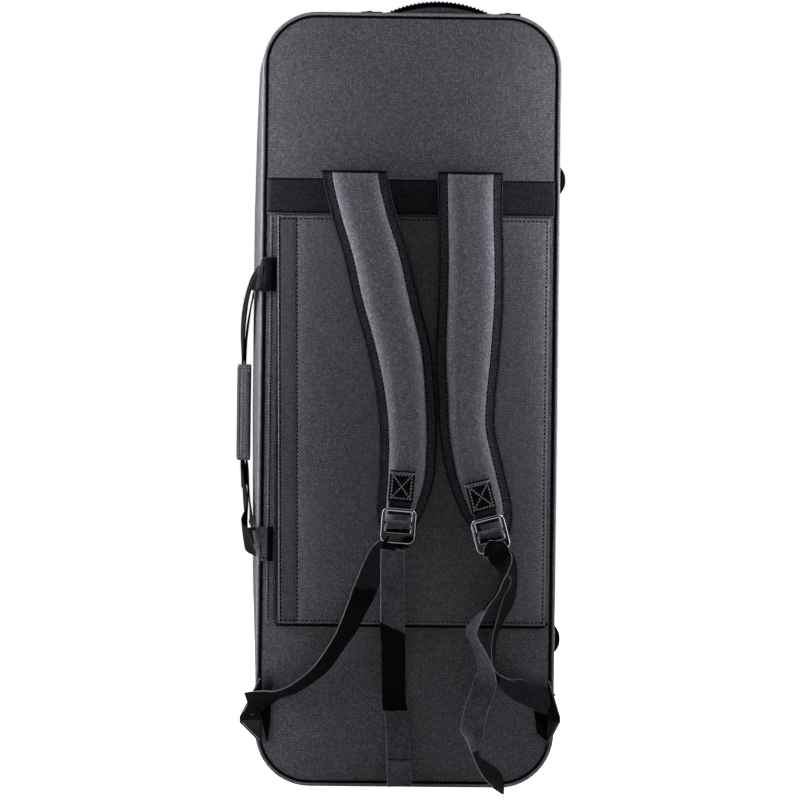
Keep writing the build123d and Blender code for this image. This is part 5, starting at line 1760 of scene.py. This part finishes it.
def make_floor():
    """A pale floor that rises into a backdrop; the camera sees it white, and it keeps the shadow."""
    wall_y, bend = 6.4, 1.2
    rows = [(-9.0, 0.0), (-3.0, 0.0), (0.0, 0.0), (wall_y, 0.0)]
    rows += [(wall_y + bend * sin(radians(a)), bend - bend * cos(radians(a))) for a in range(10, 91, 10)]
    rows.append((7.6, 9.0))
    points, faces = [], []
    for y, z in rows:
        points += [Vector((-9, y, z)) / MM, Vector((9, y, z)) / MM]
    for i in range(len(rows) - 1):
        faces.append((2 * i, 2 * i + 1, 2 * i + 3, 2 * i + 2))
    material, tree, shader = blank_material("painted_backdrop", **{"Roughness": 0.9, "IOR": 1.4})
    shader.inputs["Base Color"].default_value = linear("#F4F4F3")
    grain = add_node(tree, "ShaderNodeTexNoise", None, {
        "Vector": add_node(tree, "ShaderNodeTexCoord").outputs["Object"], "Scale": 300.0})
    raised = add_node(tree, "ShaderNodeBump", None, {
        "Height": grain.outputs["Fac"], "Distance": 0.0002, "Strength": 0.3})
    tree.links.new(raised.outputs["Normal"], shader.inputs["Normal"])
    glow = add_node(tree, "ShaderNodeEmission", None, {
        "Color": linear("#FFFFFF"), "Strength": sums(tree, "MULTIPLY", looked_at(tree), 0.94)})
    both = add_node(tree, "ShaderNodeAddShader", None, {
        0: shader.outputs["BSDF"], 1: glow.outputs["Emission"]})
    out = next(n for n in tree.nodes if n.bl_idname == "ShaderNodeOutputMaterial")
    tree.links.new(both.outputs["Shader"], out.inputs["Surface"])
    floor = piece("studio_floor", (points, faces, None), material)
    # A black card behind the camera, which only polished metal sees, as in a darkened studio
    velvet = grained("black_card", "#020202", "#060606", 40.0, 0.9, level=0.0)
    corners = [(x, -5200, z) for x, z in ((-4000, 20), (4000, 20), (4000, 4200), (-4000, 4200))]
    card = piece("dark_card", (corners, [(0, 1, 2, 3)], None), velvet, smooth=False)
    card.visible_camera = card.visible_diffuse = card.visible_shadow = False


def make_camera(scene):
    """The photograph's own view, in metres: width_seen is how much of the case's plane it takes in."""
    place = Vector((-0.105, -4.1075, 0.425))
    target = Vector((-0.0092, -0.1075, 0.4248))
    width_seen = 0.8784
    camera = bpy.data.cameras.new("camera")
    camera.sensor_width = 36.0
    camera.lens = camera.sensor_width * (target - place).length / width_seen
    camera.clip_end = 50
    ahead = (target - place).normalized()
    right = ahead.cross(Vector((0, 0, 1))).normalized()
    up = right.cross(ahead)
    lean = radians(0.697)
    tilted_right = right * cos(lean) + up * sin(lean)
    tilted_up = up * cos(lean) - right * sin(lean)
    turn = Matrix((tilted_right, tilted_up, -ahead)).transposed().to_4x4()
    obj = linked("camera", camera)
    obj.matrix_world = Matrix.Translation(place) @ turn
    scene.camera = obj


class CASE_PT_parts(bpy.types.Panel):
    """The case's parts, in the order that they are made"""
    bl_idname = "CASE_PT_parts"
    bl_label = "Saxophone case"
    bl_space_type = "VIEW_3D"
    bl_region_type = "UI"
    bl_category = "Case"

    def draw(self, context):
        for settings in (context.scene.case_sizes, context.scene.case_colours):
            for name in settings.bl_rna.properties.keys():
                if name not in ("rna_type", "name"):
                    self.layout.prop(settings, name)
        for operator in OPERATORS:
            self.layout.operator(operator.bl_idname)


OPERATORS = (CASE_OT_stage, CASE_OT_covers, CASE_OT_zip, CASE_OT_back_trim, CASE_OT_shoulder_pads,
             CASE_OT_strap_hardware, CASE_OT_side_handle, CASE_OT_top_handle, CASE_OT_interior,
             CASE_OT_stitches)
CLASSES = (CASE_PG_sizes, CASE_PG_colours) + OPERATORS + (CASE_PT_parts,)


def register():
    for cls in CLASSES:
        bpy.utils.register_class(cls)
    bpy.types.Scene.case_sizes = bpy.props.PointerProperty(type=CASE_PG_sizes)
    bpy.types.Scene.case_colours = bpy.props.PointerProperty(type=CASE_PG_colours)


def unregister():
    del bpy.types.Scene.case_sizes
    del bpy.types.Scene.case_colours
    for cls in reversed(CLASSES):
        bpy.utils.unregister_class(cls)


def main():
    register()
    make_materials()
    for operator in OPERATORS:
        group, name = operator.bl_idname.split(".")
        getattr(getattr(bpy.ops, group), name)()


if __name__ == "__main__":
    main()
